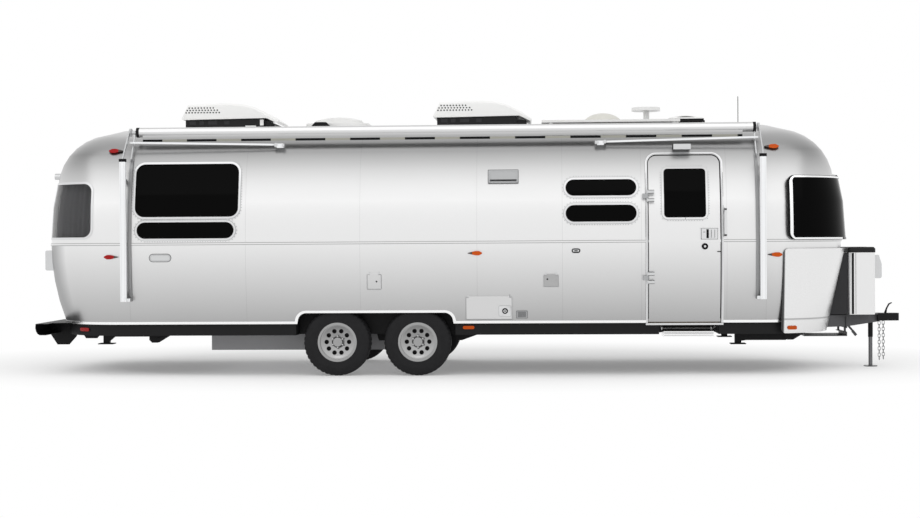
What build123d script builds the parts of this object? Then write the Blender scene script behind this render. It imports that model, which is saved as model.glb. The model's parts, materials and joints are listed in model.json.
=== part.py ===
from build123d import *
import os
from math import acos, asin, cos, degrees, radians, sin, sqrt

# Travel caravan: a riveted aluminium, round-ended trailer body on a tandem-axle chassis.
#
# Millimetres. +X runs forward to the hitch, +Y to the road (left) side, +Z up. The origin lies on the
# ground, half way between the rear bumper and the coupler's nose, on the body's centre plane.
# Right means the kerb side (-Y), where the entrance door and the awning are.

# ---------------------------------------------------------------- driving dimensions
# body shell
half_width = 1246.0        # at the belt line, where the body is widest
belt_z = 1416.0            # height of the belt moulding
sill_z = 555.0             # lower edge of the side walls
front_tip = 4038.0         # foremost point of the body, at the belt
rear_tip = -4740.0         # rearmost point of the body, at the belt
corner_radius = 750.0      # plan radius of the body's corners
end_radius = 3000.0        # plan radius of the nearly flat end faces
wall = 45.0                # thickness of the walls and roof
side_radius = 2960.0       # upright curve of the upper side walls
side_angle = 15.0          # lean of the side wall where the shoulder starts
shoulder_radius = 600.0    # curve from side wall to roof
shoulder_angle = 71.0      # lean where the roof crown starts
lower_side_radius = 4900.0  # tuck of the lower side walls
lower_front_radius = 1700.0  # tuck of the lower front wall
lower_rear_radius = 2300.0  # tuck of the lower rear wall
rear_seam = -3655.0        # joint between side sheets and rear end cap
front_seam = 3090.0        # joint between side sheets and front end cap
floor_thickness = 45.0

# underbody
belly_z = 433.0            # underside of the chassis tray
tray_inset = 28.0          # the tray stands in from the wall's lower edge

# wheels and axles
tyre_radius = 358.0
tyre_width = 215.0
rim_radius = 209.0
rim_width = 170.0
axle_spacing = 860.0
axle_mid_x = -1010.0
wheel_y = 1058.0           # centre plane of each tyre
hub_radius = 62.0
axle_beam = 76.0           # square axle beam
arm_length = 150.0         # trailing arm, from the beam back to the spindle
arm_width = 40.0
spindle_radius = 22.0
bearing_gap = 0.4

# wheel arch openings
arch_rear_x = -1840.0
arch_front_x = -215.0
arch_top_z = 672.0
arch_corner = 92.0
arch_splay = 44.0          # how much further out each foot of the arch stands
well_top_z = 800.0
well_depth = 300.0
well_sheet = 6.0

# entrance door
door_x0 = 1862.0
door_x1 = 2615.0
door_z0 = 566.0
door_z1 = 2325.0
door_corner = 92.0
door_frame_width = 22.0
door_gap = 6.0
door_latch_gap = 8.0
hinge_y = -1262.0
trim_height = 7.0          # how proud the mouldings and window frames stand
frame_width = 24.0
glass = 6.0

# hitch
rail_height = 127.0
rail_width = 51.0
rail_top_z = 585.0
coupler_nose_x = 4735.0
ball_radius = 29.5
ball_x = 4672.0
ball_z = 560.0
jack_x = 4412.0
jack_tube_radius = 26.5
jack_leg_radius = 22.0
jack_foot_radius = 75.0

# rear bumper
bumper_rear_x = -4715.0
bumper_half_width = 1100.0
bumper_top_z = 563.0
bumper_bottom_z = 440.0
bumper_sheet = 5.0

running_gap = 5.0          # clearance between moving and fixed pieces
seat_gap = 0.3

os.makedirs("parts", exist_ok=True)


def save(name, *shapes):
    """Writes one node from its solids."""
    solids = [s for shape in shapes for s in shape.solids()]
    shape = solids[0] if len(solids) == 1 else Compound(children=solids)
    shape.label = name
    export_step(shape, f"parts/{name}.step")
    return shape


# ---------------------------------------------------------------- body surfaces
def arc_mid(centre, radius, a0, a1):
    """Point half way along an arc given by its centre, radius and two angles."""
    a = radians((a0 + a1) / 2)
    return (centre[0] + radius * cos(a), centre[1] + radius * sin(a))


def plan_outline(half, front, rear, corner, end, z):
    """Closed plan outline: two straight sides, four corner arcs and two nearly flat end arcs."""
    depth = end - sqrt((end - corner) ** 2 - (half - corner) ** 2)
    turn = degrees(asin((half - corner) / (end - corner)))
    edges = []
    for tip, way in ((front, 1), (rear, -1)):
        side_x = tip - way * depth
        mid = (tip - way * end, 0)
        start = -90 if way == 1 else 90
        low, high = (side_x, -way * (half - corner)), (side_x, way * (half - corner))
        a = 0 if way == 1 else 180
        joint = [(mid[0] + end * cos(radians(a + s * turn)), mid[1] + end * sin(radians(a + s * turn)))
                 for s in (-1, 1)]
        edges += [
            (arc_mid(low, corner, start, a - turn), (side_x, -way * half), joint[0]),
            ((tip, 0), joint[0], joint[1]),
            (arc_mid(high, corner, a + turn, a + 90), joint[1], (side_x, way * half)),
        ]
        edges.append(None)
    curves = []
    for i, e in enumerate(edges):
        if e is not None:
            m, p, q = e
            curves.append(Edge.make_three_point_arc((*p, z), (*m, z), (*q, z)))
        else:
            p, q = edges[i - 1][2], edges[(i + 1) % len(edges)][1]
            curves.append(Edge.make_line((*p, z), (*q, z)))
    return Wire(curves)


crown_radius = (half_width - side_radius * (1 - cos(radians(side_angle)))
                - shoulder_radius * (cos(radians(side_angle)) - cos(radians(shoulder_angle)))
                ) / cos(radians(shoulder_angle))


def wall_point(angle):
    """(inset from the belt outline, height) of the upper wall where it leans by angle from upright."""
    a, s, c = radians(angle), radians(side_angle), radians(shoulder_angle)
    if angle <= side_angle:
        return side_radius * (1 - cos(a)), belt_z + side_radius * sin(a)
    inset, z = side_radius * (1 - cos(s)), belt_z + side_radius * sin(s)
    if angle <= shoulder_angle:
        return inset + shoulder_radius * (cos(s) - cos(a)), z + shoulder_radius * (sin(a) - sin(s))
    inset, z = inset + shoulder_radius * (cos(s) - cos(c)), z + shoulder_radius * (sin(c) - sin(s))
    return inset + crown_radius * (cos(c) - cos(a)), z + crown_radius * (sin(a) - sin(c))


shoulder_z = wall_point(side_angle)[1]
lower_levels = (1.0, 0.72, 0.46, 0.22)      # shares of the way down from the belt to the sill
upper_leans = (0, 8, 15, 26, 37, 48, 60, 71, 79, 85.5)
smallest_corner = 60.0


def body_solid(offset, drop=0.0):
    """The body's outer form, moved inward by offset; drop lowers its bottom edge."""
    wires = []
    for share in ((1.0,) if drop else ()) + lower_levels:
        down = (belt_z - sill_z) * share
        z = belt_z - down - (0 if wires or not drop else drop)
        side = down ** 2 / (2 * lower_side_radius)
        front = down ** 2 / (2 * lower_front_radius)
        rear = down ** 2 / (2 * lower_rear_radius)
        wires.append(plan_outline(half_width - side - offset, front_tip - front - offset,
                                  rear_tip + rear + offset, corner_radius - offset,
                                  end_radius - offset, z))
    for lean in upper_leans:
        inset, z = wall_point(lean)
        inset, z = inset + offset * cos(radians(lean)), z - offset * sin(radians(lean))
        wires.append(plan_outline(half_width - inset, front_tip - inset, rear_tip + inset,
                                  max(corner_radius - inset, smallest_corner),
                                  end_radius - inset, z))
    return Solid.make_loft(wires, True)


def box(x0, x1, y0, y1, z0, z1):
    """Block between two corners."""
    return Pos((x0 + x1) / 2, (y0 + y1) / 2, (z0 + z1) / 2) * Box(x1 - x0, y1 - y0, z1 - z0)


def prism(points, y0, y1):
    """Polygon of (x, z) points, extruded from y0 to y1."""
    face = Face(Wire([Edge.make_line((*a[:1], y0, *a[1:]), (*b[:1], y0, *b[1:]))
                      for a, b in zip(points, points[1:] + points[:1])]))
    return extrude(face, amount=y1 - y0, dir=(0, 1, 0))


def prism_x(points, x0, x1):
    """Polygon of (y, z) points, extruded from x0 to x1."""
    face = Face(Wire([Edge.make_line((x0, *a), (x0, *b)) for a, b in zip(points, points[1:] + points[:1])]))
    return extrude(face, amount=x1 - x0, dir=(1, 0, 0))


def bar_between(a, b, width, height):
    """Rectangular bar with its long axis from a to b."""
    along = Vector(*b) - Vector(*a)
    plane = Plane(origin=a, x_dir=(0, 1, 0), z_dir=(along.X, along.Y, along.Z))
    return extrude(plane * Rectangle(width, height), amount=along.length)


def rounded(x0, x1, z0, z1, r, y0, y1):
    """Rounded rectangle in the XZ plane, extruded from y0 to y1."""
    plane = Plane(origin=((x0 + x1) / 2, y0, (z0 + z1) / 2), x_dir=(1, 0, 0), z_dir=(0, 1, 0))
    sketch = RectangleRounded(x1 - x0, z1 - z0, min(r, (x1 - x0) / 2 - 0.5, (z1 - z0) / 2 - 0.5))
    return extrude(plane * sketch, amount=y1 - y0)


def cylinder_y(x, y0, y1, z, r):
    """Round bar along Y."""
    return Pos(x, (y0 + y1) / 2, z) * Rot(90, 0, 0) * Cylinder(r, y1 - y0)


def cylinder_z(x, y, z0, z1, r):
    """Upright round bar."""
    return Pos(x, y, (z0 + z1) / 2) * Cylinder(r, z1 - z0)


def cylinder_x(x0, x1, y, z, r):
    """Round bar along X."""
    return Pos((x0 + x1) / 2, y, z) * Rot(0, 90, 0) * Cylinder(r, x1 - x0)


def grown(x0, x1, z0, z1, r, by):
    """A rounded opening widened on every side."""
    return x0 - by, x1 + by, z0 - by, z1 + by, r + by


outer = body_solid(0)
inner = body_solid(wall, drop=30)
proud = body_solid(-trim_height)
shell = outer - inner
skin = proud - outer
pane = body_solid(1) - body_solid(1 + glass)

far = 1700.0
# windows in the side walls: x0, x1, z0, z1, corner radius
rear_window = (-3586.0, -2480.0, 1706.0, 2270.0, 95.0)
vista_window = (-3565.0, -2527.0, 1475.0, 1646.0, 85.0)
stack_low = (998.0, 1738.0, 1627.0, 1799.0, 86.0)
stack_high = (998.0, 1738.0, 1901.0, 2069.0, 84.0)
door_window = (2028.0, 2462.0, 1665.0, 2176.0, 36.0)
end_window_z0, end_window_z1 = 1492.0, 2066.0
rear_corner_window_x = -4068.0
front_corner_window_x = 3390.0
end_window_gap_y = 610.0
end_mullion = 30.0
street_windows = (rear_window, vista_window, stack_low, stack_high)
kerb_windows = (rear_window, vista_window, stack_low, stack_high)


def side_prisms(windows, way, by=0.0):
    """Blocks that cut side windows out of one wall."""
    return [rounded(*grown(*w, by), min(0, way * far), max(0, way * far)) for w in windows]


def end_prisms(tip, way, corner_x, by=0.0):
    """Three panes round one end: two corner panes and one across the end face."""
    z0, z1 = end_window_z0 - by, end_window_z1 + by
    cuts = []
    for side in (-1, 1):
        lo, hi = sorted((side * (end_window_gap_y + end_mullion - by), side * far))
        x_in, x_out = corner_x - way * by, tip + way * 200
        form = rounded(min(x_in, x_out), max(x_in, x_out), z0, z1, 90 + by, lo, hi)
        cuts.append(form)
    lo = tip - way * 700
    cuts.append(box(min(lo, tip + way * 200), max(lo, tip + way * 200),
                    -(end_window_gap_y - end_mullion + by), end_window_gap_y - end_mullion + by, z0, z1))
    return cuts


kerb_cuts = side_prisms(kerb_windows, -1)
street_cuts = side_prisms(street_windows, 1)
rear_cuts = end_prisms(rear_tip, -1, rear_corner_window_x)
front_cuts = end_prisms(front_tip, 1, front_corner_window_x)


def door_prism(by, by_latch=None, y0=-far, y1=-900.0):
    """The door's outline with arched top corners, moved out by `by`."""
    by_latch = by if by_latch is None else by_latch
    x0, x1, z0, z1 = door_x0 - by, door_x1 + by_latch, door_z0 - by, door_z1 + by
    if by > 0:
        z0 = sill_z - 60
    lower = box(x0, x1, y0, y1, z0, z1 - 2 * door_corner)
    return rounded(x0, x1, z0 + 300, z1, door_corner + by, y0, y1) + lower


def arch_prism(by, y0, y1):
    """The wheel arch: feet wider than the top, with rounded top corners, moved out by `by`."""
    top_z = arch_top_z + by
    slope = arch_splay / (arch_top_z - belly_z)
    foot_z = 100.0
    spread = slope * (top_z - foot_z)
    form = prism([(arch_rear_x - by - spread, foot_z), (arch_rear_x - by, top_z),
                  (arch_front_x + by, top_z), (arch_front_x + by + spread, foot_z)], y0, y1)
    corners = form.edges().filter_by(Axis.Y).group_by(Axis.Z)[-1]
    return fillet(corners, arch_corner + by)


# small doors in the kerb-side wall: x0, x1, z0, z1, corner radius
hatches = {
    "hatch_rear": (-1110.0, -950.0, 918.0, 1086.0, 16.0),
    "hatch_front": (756.0, 922.0, 938.0, 1070.0, 12.0),
    "heater_door": (-66.0, 432.0, 592.0, 838.0, 14.0),
}
hatch_depth, hatch_gap, hatch_pin = 20.0, 5.0, 2.5


def wall_y(z):
    """Half width of the body at height z on its straight part."""
    if z < belt_z:
        return half_width - (belt_z - z) ** 2 / (2 * lower_side_radius)
    return half_width - side_radius + sqrt(side_radius ** 2 - (z - belt_z) ** 2)


# ---------------------------------------------------------------- shell panels
door_opening = door_prism(door_gap, door_latch_gap)
for cut in kerb_cuts + street_cuts + rear_cuts + front_cuts + [door_opening]:
    shell = shell - cut
rebate = outer - body_solid(hatch_depth)
hatch_skin = outer - body_solid(hatch_depth - 2.5)
for x0, x1, z0, z1, r in hatches.values():
    shell = shell - (rebate & rounded(x0, x1, z0, z1, r, -far, -900.0))
well_x = (arch_rear_x - 40, arch_front_x + 40)
thin_wall = body_solid(10)
for side in (-1, 1):
    lo, hi = sorted((side * 900.0, side * far))
    shell = shell - arch_prism(0, lo, hi)
    shell = shell - (thin_wall & box(*well_x, lo, hi, 0, well_top_z))

top = 3000.0
mid = (rear_seam, front_seam)
lower_walls = shell & box(*mid, -far, far, 0, belt_z)
save("side_walls_lower", lower_walls)
save("side_walls_upper", shell & box(*mid, -far, far, belt_z, shoulder_z))
save("roof_panel", shell & box(*mid, -far, far, shoulder_z, top))
save("front_cap_upper", shell & box(front_seam, 5000, -far, far, belt_z, top))
save("front_cap_lower", shell & box(front_seam, 5000, -far, far, 0, belt_z))
save("rear_cap_upper", shell & box(-5000, rear_seam, -far, far, belt_z, top))
save("rear_cap_lower", shell & box(-5000, rear_seam, -far, far, 0, belt_z))

# ---------------------------------------------------------------- floor, tray, wheel wells
well_y = 1118.0
wells, well_voids = [], []
for side in (-1, 1):
    in_y = side * (wheel_y - tyre_width / 2 - 35)
    lo, hi = sorted((side * well_y, in_y))
    wells.append(box(*well_x, lo, hi, well_top_z - well_sheet, well_top_z))
    inner_lo, inner_hi = sorted((in_y, in_y + side * well_sheet))
    wells.append(box(*well_x, inner_lo, inner_hi, belly_z, well_top_z - well_sheet - seat_gap))
    end_lo, end_hi = sorted((in_y + side * (well_sheet + seat_gap), side * well_y))
    for x, way in ((well_x[0], 1), (well_x[1], -1)):
        x_lo, x_hi = sorted((x, x + way * well_sheet))
        wells.append(box(x_lo, x_hi, end_lo, end_hi, belly_z, well_top_z - well_sheet - seat_gap))
    well_voids.append(box(*well_x, *sorted((in_y, side * far)), 0, well_top_z))
save("wheel_wells", *wells)

deck = inner & box(-5000, 5000, -far, far, sill_z, sill_z + floor_thickness)
well_in = wheel_y - tyre_width / 2 - 35
save("floor_deck", deck & box(-5000, well_x[0], -far, far, 0, top),
     deck & box(well_x[0] + seat_gap, well_x[1] - seat_gap, -well_in, well_in, 0, top),
     deck & box(well_x[1], 5000, -far, far, 0, top))

sill_drop = belt_z - sill_z
sill_side = sill_drop ** 2 / (2 * lower_side_radius)
sill_front = sill_drop ** 2 / (2 * lower_front_radius)
sill_rear = sill_drop ** 2 / (2 * lower_rear_radius)
tray_wire = plan_outline(half_width - sill_side - tray_inset, front_tip - sill_front - tray_inset,
                         rear_tip + sill_rear + tray_inset, corner_radius - tray_inset,
                         end_radius - tray_inset, belly_z)
tray = extrude(Face(tray_wire), amount=sill_z - belly_z, dir=(0, 0, 1))
bay_x0, bay_x1, bay_y = 1975.0, 2600.0, -760.0
tray_parts = [
    tray & box(-5000, well_x[0], -far, far, 0, top),
    tray & box(well_x[0] + seat_gap, well_x[1] - seat_gap, -well_in, well_in, 0, top),
    tray & box(well_x[1], bay_x0 - seat_gap, -far, far, 0, top),
    tray & box(bay_x0, bay_x1, bay_y, far, 0, top),
    tray & box(bay_x1 + seat_gap, 5000, -far, far, 0, top),
]
save("chassis_tray", *tray_parts)

# ---------------------------------------------------------------- mouldings, frames, glass
door_zone = door_prism(door_frame_width + door_gap + 0.2, door_frame_width + door_latch_gap + 0.2)
belt_half, rub_height = 13.0, 28.0
belt = skin & box(-5000, 5000, -far, far, belt_z - belt_half, belt_z + belt_half)
belt = belt - door_zone
rub = skin & box(-5000, 5000, -far, far, sill_z + 1, sill_z + rub_height)
arch_lip = 26.0
arch_frames = []
for side in (-1, 1):
    lo, hi = sorted((side * 900.0, side * far))
    rub = rub - arch_prism(arch_lip, lo, hi)
    arch_frames.append((skin & box(-3000, 1000, lo, hi, sill_z + 1, 900))
                       & (arch_prism(arch_lip, lo, hi) - arch_prism(0, lo, hi)))
save("mouldings", belt, rub - door_zone, *arch_frames)

frames = []
for way, windows in ((-1, kerb_windows), (1, street_windows)):
    half_skin = skin & box(-5000, 5000, *sorted((0.0, way * far)), belt_z + belt_half + 1, top)
    for w in windows:
        lo, hi = sorted((0.0, way * far))
        ring = rounded(*grown(*w, frame_width), lo, hi) - rounded(*w, lo, hi)
        frames.append(half_skin & ring)
rear_skin = skin & box(-5000, rear_seam, -far, far, belt_z + belt_half + 1, top)
rear_outer = rounded(rear_tip - 200, rear_corner_window_x + frame_width, end_window_z0 - frame_width,
                     end_window_z1 + frame_width, 110, -far, far)
rear_frame = rear_skin & rear_outer
for cut in rear_cuts:
    rear_frame = rear_frame - cut
frames.append(rear_frame)

panes = [pane & cut for cut in kerb_cuts + street_cuts + rear_cuts + front_cuts]
save("window_glass", *panes)

# ---------------------------------------------------------------- entrance door
frame_ring = door_prism(door_frame_width + door_gap, door_frame_width + door_latch_gap) - door_opening
sill_plate = box(door_x0 - 28, door_x1 + 30, -1184, -1142.5, 532, 552)
save("opening_frames", *frames, skin & frame_ring, sill_plate)
door_skin = (body_solid(0) - body_solid(12)) & door_prism(0)
door_core = (body_solid(12) - inner) & door_prism(-16)
door = door_skin + door_core
window_hole = rounded(*door_window, -far, -900.0)
door = door - window_hole
door_belt = skin & box(door_x0, door_x1, -far, 0, belt_z - belt_half, belt_z + belt_half)
door_ring = (skin & (rounded(*grown(*door_window, frame_width), -far, -900.0) - window_hole))
lock_x, lock_z = 2496.0, 1490.0
lock_half_x, lock_half_z = 86.0, 58.0
save("door_panel", door + door_belt + door_ring)
save("door_glass", pane & window_hole)

# lock plate and round lock on the door, hinge leaves on its rear edge
near_skin = body_solid(-0.3)
hardware = [rounded(lock_x - lock_half_x, lock_x + lock_half_x, lock_z - lock_half_z,
                    lock_z + lock_half_z, 12, -half_width - 14, -half_width + 40) - near_skin,
            cylinder_y(2449, -half_width - 16, -half_width + 40, 1358, 33) - near_skin]
hinges, wall_fittings = [], []
for z in (1890.0, 1030.0):
    knuckle = cylinder_z(door_x0 - 10, hinge_y, z - 60, z - 27, 9) + cylinder_z(door_x0 - 10, hinge_y,
                                                                                z + 27, z + 60, 9)
    for low, high in ((z - 60, z - 27), (z + 27, z + 60)):
        knuckle = knuckle + (box(door_x0 - 4, door_x0 + 60, hinge_y - 6, -half_width + 50, low, high)
                             - outer)
    knuckle = knuckle + cylinder_z(door_x0 - 10, hinge_y, z - 60, z + 60, 4.95)
    hinges.append(knuckle)
    post = box(door_x0 - 60, door_x0 - 16, hinge_y - 6, -half_width + 70, z - 25, z + 25) - proud
    post = post + cylinder_z(door_x0 - 10, hinge_y, z - 25, z + 25, 9)
    wall_fittings.append(post - cylinder_z(door_x0 - 10, hinge_y, z - 60, z + 60, 5.0))
save("door_hardware", *hinges, *hardware)

# small doors in the wall, each on a pin along its upper edge
for name, (x0, x1, z0, z1, r) in hatches.items():
    leaf = hatch_skin & rounded(x0 + hatch_gap, x1 - hatch_gap, z0 + hatch_gap, z1 - hatch_gap, r - 4,
                                -far, -900.0)
    pin_z = z1 + 1
    pin_y = -wall_y(pin_z) - 7.0
    barrel_x0, barrel_x1 = x0 + 24, x1 - 24
    barrel = Pos((x0 + x1) / 2, pin_y, pin_z) * Rot(0, 90, 0) * Cylinder(6, barrel_x1 - barrel_x0 - 24)
    barrel = barrel + (box(barrel_x0 + 12, barrel_x1 - 12, pin_y - 5.5, pin_y + 24, pin_z - 18, pin_z)
                       - outer)
    barrel = barrel + Pos((x0 + x1) / 2, pin_y, pin_z) * Rot(0, 90, 0) * Cylinder(hatch_pin,
                                                                                  barrel_x1 - barrel_x0)
    lock = cylinder_y(x1 - 26, pin_y - 2, pin_y + 40, (z0 + z1) / 2, 9) - near_skin
    save(name, leaf + barrel, lock)
    for k0, k1 in ((barrel_x0, barrel_x0 + 11.5), (barrel_x1 - 11.5, barrel_x1)):
        ear = Pos((k0 + k1) / 2, pin_y, pin_z) * Rot(0, 90, 0) * Cylinder(6, k1 - k0)
        ear = ear + (box(k0, k1, pin_y - 5.5, pin_y + 24, pin_z, pin_z + 20) - outer)
        wall_fittings.append(ear - Pos((k0 + k1) / 2, pin_y, pin_z) * Rot(0, 90,
                0) * Cylinder(hatch_pin + 0.05, 60))

# grab handle, porch lamp, vents, badge plates and outlet on the kerb-side wall
handle_x, handle_z0, handle_z1 = 2660.0, 1470.0, 1762.0
handle = box(handle_x - 9, handle_x + 9, -half_width - 52, -half_width - 42, handle_z0, handle_z1)
for z in (handle_z0, handle_z1 - 24):
    handle = handle + (box(handle_x - 9, handle_x + 9, -half_width - 52, -half_width + 60, z, z + 24)
                       - outer)
porch = box(2130, 2312, -half_width + 62, -half_width + 210, 2380, 2436) - outer
range_vent = (body_solid(-9) - outer) & rounded(178, 502, 2035, 2182, 8, -far, -900)
small_vent = (body_solid(-6) - outer) & rounded(470, 590, 608, 688, 6, -far, -900)
badge = (body_solid(-4) - outer) & rounded(-3435, -3198, 1225, 1311, 40, -far, -900)
outlet = (body_solid(-6) - outer) & rounded(1052, 1152, 1292, 1348, 27, -far, -900)
rear_boxes = []
for side in (-1, 1):
    lo, hi = sorted((side * 470.0, side * 640.0))
    rear_boxes.append(rounded(-4745, -4400, 1130, 1352, 20, lo, hi) - outer)
    rear_boxes.append(Pos(-4560, side * 600, 2168) * Rot(0, 90, 0) * Cylinder(34, 150) - outer)

# ---------------------------------------------------------------- wheels and axles
tyre_profile = [(rim_radius, -0.42), (0.80 * tyre_radius, -0.5), (0.955 * tyre_radius, -0.46),
                (tyre_radius, -0.36), (tyre_radius, 0.36), (0.955 * tyre_radius, 0.46),
                (0.80 * tyre_radius, 0.5), (rim_radius, 0.42)]


def turned(profile):
    """Revolves (radius, y) points about the Y axis."""
    face = Face(Wire([Edge.make_line((r, y, 0), (s, t, 0))
                      for (r, y), (s, t) in zip(profile, profile[1:] + profile[:1])]))
    return revolve(face, Axis.Y, 360)


def tyre():
    """Tyre about the Y axis, from its half profile."""
    return turned([(r, y * tyre_width) for r, y in tyre_profile])


def rim(side):
    """Drop-centre rim with a ten-hole disc; side says which way its face looks."""
    w = rim_width / 2
    barrel = turned([(rim_radius - 0.2, -w), (rim_radius - 0.2, w), (rim_radius - 14, w),
                     (rim_radius - 22, 0.3 * w),
                     (rim_radius - 22, -w)])
    disc = turned([(spindle_radius + 20, side * 0.16 * w), (140, side * 0.34 * w),
                   (rim_radius - 24, side * 0.50 * w),
                   (rim_radius - 10, side * 0.50 * w), (rim_radius - 10, side * 0.36 * w),
                   (140, side * 0.20 * w),
                   (spindle_radius + 20, side * 0.02 * w)])
    hub = turned([(spindle_radius + bearing_gap, -side * 0.30 * w), (hub_radius, -side * 0.30 * w),
                  (hub_radius, side * 0.45 * w), (hub_radius - 14, side * 0.62 * w),
                  (spindle_radius + bearing_gap, side * 0.62 * w)])
    body = barrel + disc + hub
    hole_ring, hole_radius = 120.0, 19.0
    for i in range(10):
        a = radians(36 * i)
        body = body - cylinder_y(hole_ring * cos(a), -60, 60, hole_ring * sin(a), hole_radius)
    cap = Pos(0, side * 0.62 * w, 0) * Rot(90, 0, 0) * Cylinder(hub_radius - 24, 12)
    return body + cap


axle_xs = {"rear": axle_mid_x - axle_spacing / 2, "front": axle_mid_x + axle_spacing / 2}
for side, side_name in ((-1, "right"), (1, "left")):
    for end, x in axle_xs.items():
        place = Pos(x, side * wheel_y, tyre_radius)
        save(f"tyre_{end}_{side_name}", place * tyre())
        save(f"rim_{end}_{side_name}", place * rim(side))

arm_out = wheel_y - rim_width / 2 - 10
axles = []
for x in axle_xs.values():
    beam_x = x + arm_length
    axle = box(beam_x - axle_beam / 2, beam_x + axle_beam / 2, -arm_out + arm_width, arm_out - arm_width,
               belly_z - axle_beam, belly_z)
    for side in (-1, 1):
        lo, hi = sorted((side * arm_out, side * (arm_out - arm_width)))
        arm = prism([(x - 30, tyre_radius - 30), (x - 30, tyre_radius + 30),
                     (beam_x - axle_beam / 2, belly_z),
                     (beam_x + axle_beam / 2, belly_z), (beam_x + axle_beam / 2, belly_z - axle_beam),
                     (beam_x - 20, belly_z - axle_beam - 20)], lo, hi)
        y0, y1 = sorted((side * arm_out, side * (wheel_y + 20)))
        axle = axle + arm + cylinder_y(x, y0, y1, tyre_radius, spindle_radius)
    axles.append(axle)
save("axles", *axles)

# ---------------------------------------------------------------- hitch frame, coupler, jack
apex_x, spread_x, spread_y = 4500.0, 2700.0, 860.0


def rail(side, z0, z1):
    """One leg of the A-frame, seen in plan, from under the body to the coupler."""
    direction = Vector(apex_x - spread_x, -side * spread_y, 0).normalized()
    normal = Vector(direction.Y, -direction.X, 0)
    start, stop = Vector(spread_x, side * spread_y, z0), Vector(apex_x, 0, z0)
    w = normal * (rail_width / 2)
    pts = [start + w, stop + w, stop - w, start - w]
    face = Face(Wire([Edge.make_line(a, b) for a, b in zip(pts, pts[1:] + pts[:1])]))
    return extrude(face, amount=z1 - z0, dir=(0, 0, 1))


rail_z0 = rail_top_z - rail_height
bore_r = ball_radius + 0.4
frame = rail(-1, rail_z0, rail_top_z) + rail(1, rail_z0, rail_top_z)
frame = frame + box(4330, 4480, -90, 90, rail_top_z - 1, rail_top_z + 8)
frame = frame - proud - tray - box(-5000, 3700, -far, far, 0, top)
frame = frame - prism([(3950, 440), (4480, 500), (4700, 500), (4700, 400), (3950, 400)], -far, far)
frame = frame - cylinder_z(jack_x, 0, 0, top, jack_tube_radius)
coupler_plan = [(4420, -84), (4590, -52), (4690, -46), (4722, -24), (4722, 24), (4690, 46), (4590, 52),
                (4420, 84)]
coupler = extrude(Face(Wire([Edge.make_line((*a, 512), (*b, 512)) for a, b in
                             zip(coupler_plan, coupler_plan[1:] + coupler_plan[:1])])), amount=84,
                             dir=(0, 0, 1))
coupler = coupler - frame - cylinder_z(jack_x, 0, 0, top, 60) - box(4300, 4480, -200, 200, 0, top)
coupler = coupler - cylinder_z(ball_x, 0, 500, 545, bore_r) - Pos(ball_x, 0, 545) * Sphere(bore_r)
lever = prism([(4562, 594), (4590, 594), (4596, 640), (4622, 690), (4650, 706), (4646, 716), (4612, 702),
               (4584, 650)], -9, 9)
save("coupler", coupler + lever)

jack_tube = cylinder_z(jack_x, 0, 330, 985, jack_tube_radius) - cylinder_z(jack_x, 0, 300, 960,
                                                                           jack_leg_radius + 0.08)
jack_head = rounded(4386, 4528, 985, 1245, 26, -58,
                    58) - prism([(4496, 1246), (4529, 1246), (4529, 1140)], -80, 80)
save("jack_post", jack_tube + jack_head)
jack_leg = cylinder_z(jack_x, 0, 10, 640, jack_leg_radius)
save("jack_leg", jack_leg + cylinder_z(jack_x, 0, 0, 10, jack_foot_radius))

# gas bottle cover on the A-frame, notched for the jack, with its dark lid
cover_x0, cover_x1, cover_y, cover_z0, cover_z1 = 4108.0, 4402.0, 335.0, 594.0, 1276.0
cover_sheet, cover_corner = 5.0, 34.0


def cover_form(by, z0, z1):
    """Rounded block of the gas bottle cover, widened by `by`."""
    mid_x = (cover_x0 + cover_x1) / 2
    form = Pos(mid_x, 0, z0) * extrude(RectangleRounded(cover_x1 - cover_x0 + 2 * by, 2 * (cover_y + by),
                                                        cover_corner + by),
                                       amount=z1 - z0)
    return form - box(jack_x - jack_tube_radius - 24 + by, 5000, -78 + by, 78 - by, z0 - 1, z1 + 1)


save("gas_bottle_cover", cover_form(0, cover_z0, cover_z1) - cover_form(-cover_sheet, cover_z0 - 1,
                                                                        cover_z1 - cover_sheet))
lid = cover_form(5, cover_z1, cover_z1 + 60)
save("gas_cover_lid", chamfer(lid.faces().sort_by(Axis.Z)[-1].edges(), 18))

# safety chains: stadium links, alternately turned
def link(length, width, wire, turn):
    """One chain link of round wire, turned about its length."""
    r = width / 2 - wire / 2
    half = length / 2 - width / 2
    path = Wire([Edge.make_line((r, 0, -half), (r, 0, half)),
                 Edge.make_three_point_arc((r, 0, half), (0, 0, half + r), (-r, 0, half)),
                 Edge.make_line((-r, 0, half), (-r, 0, -half)),
                 Edge.make_three_point_arc((-r, 0, -half), (0, 0, -half - r), (r, 0, -half))])
    ring = sweep(Plane(origin=(r, 0, 0), z_dir=(0, 0, 1)) * RegularPolygon(wire / 2, 6), path=path)
    return Rot(0, 0, turn) * ring


chain_tops = ((4497.0, -58.0, 485.8), (4562.0, 38.0, 485.8))
chain_link = (52.0, 34.0, 8.0)
chain_count = (12, 12)
links = []
for (x, y, z), count in zip(chain_tops, chain_count):
    pitch = chain_link[0] - 2 * chain_link[2] - 0.6
    for i in range(count):
        links.append(Pos(x, y, z - i * pitch) * link(*chain_link, 90 * (i % 2)))
save("safety_chains", *links)

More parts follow.
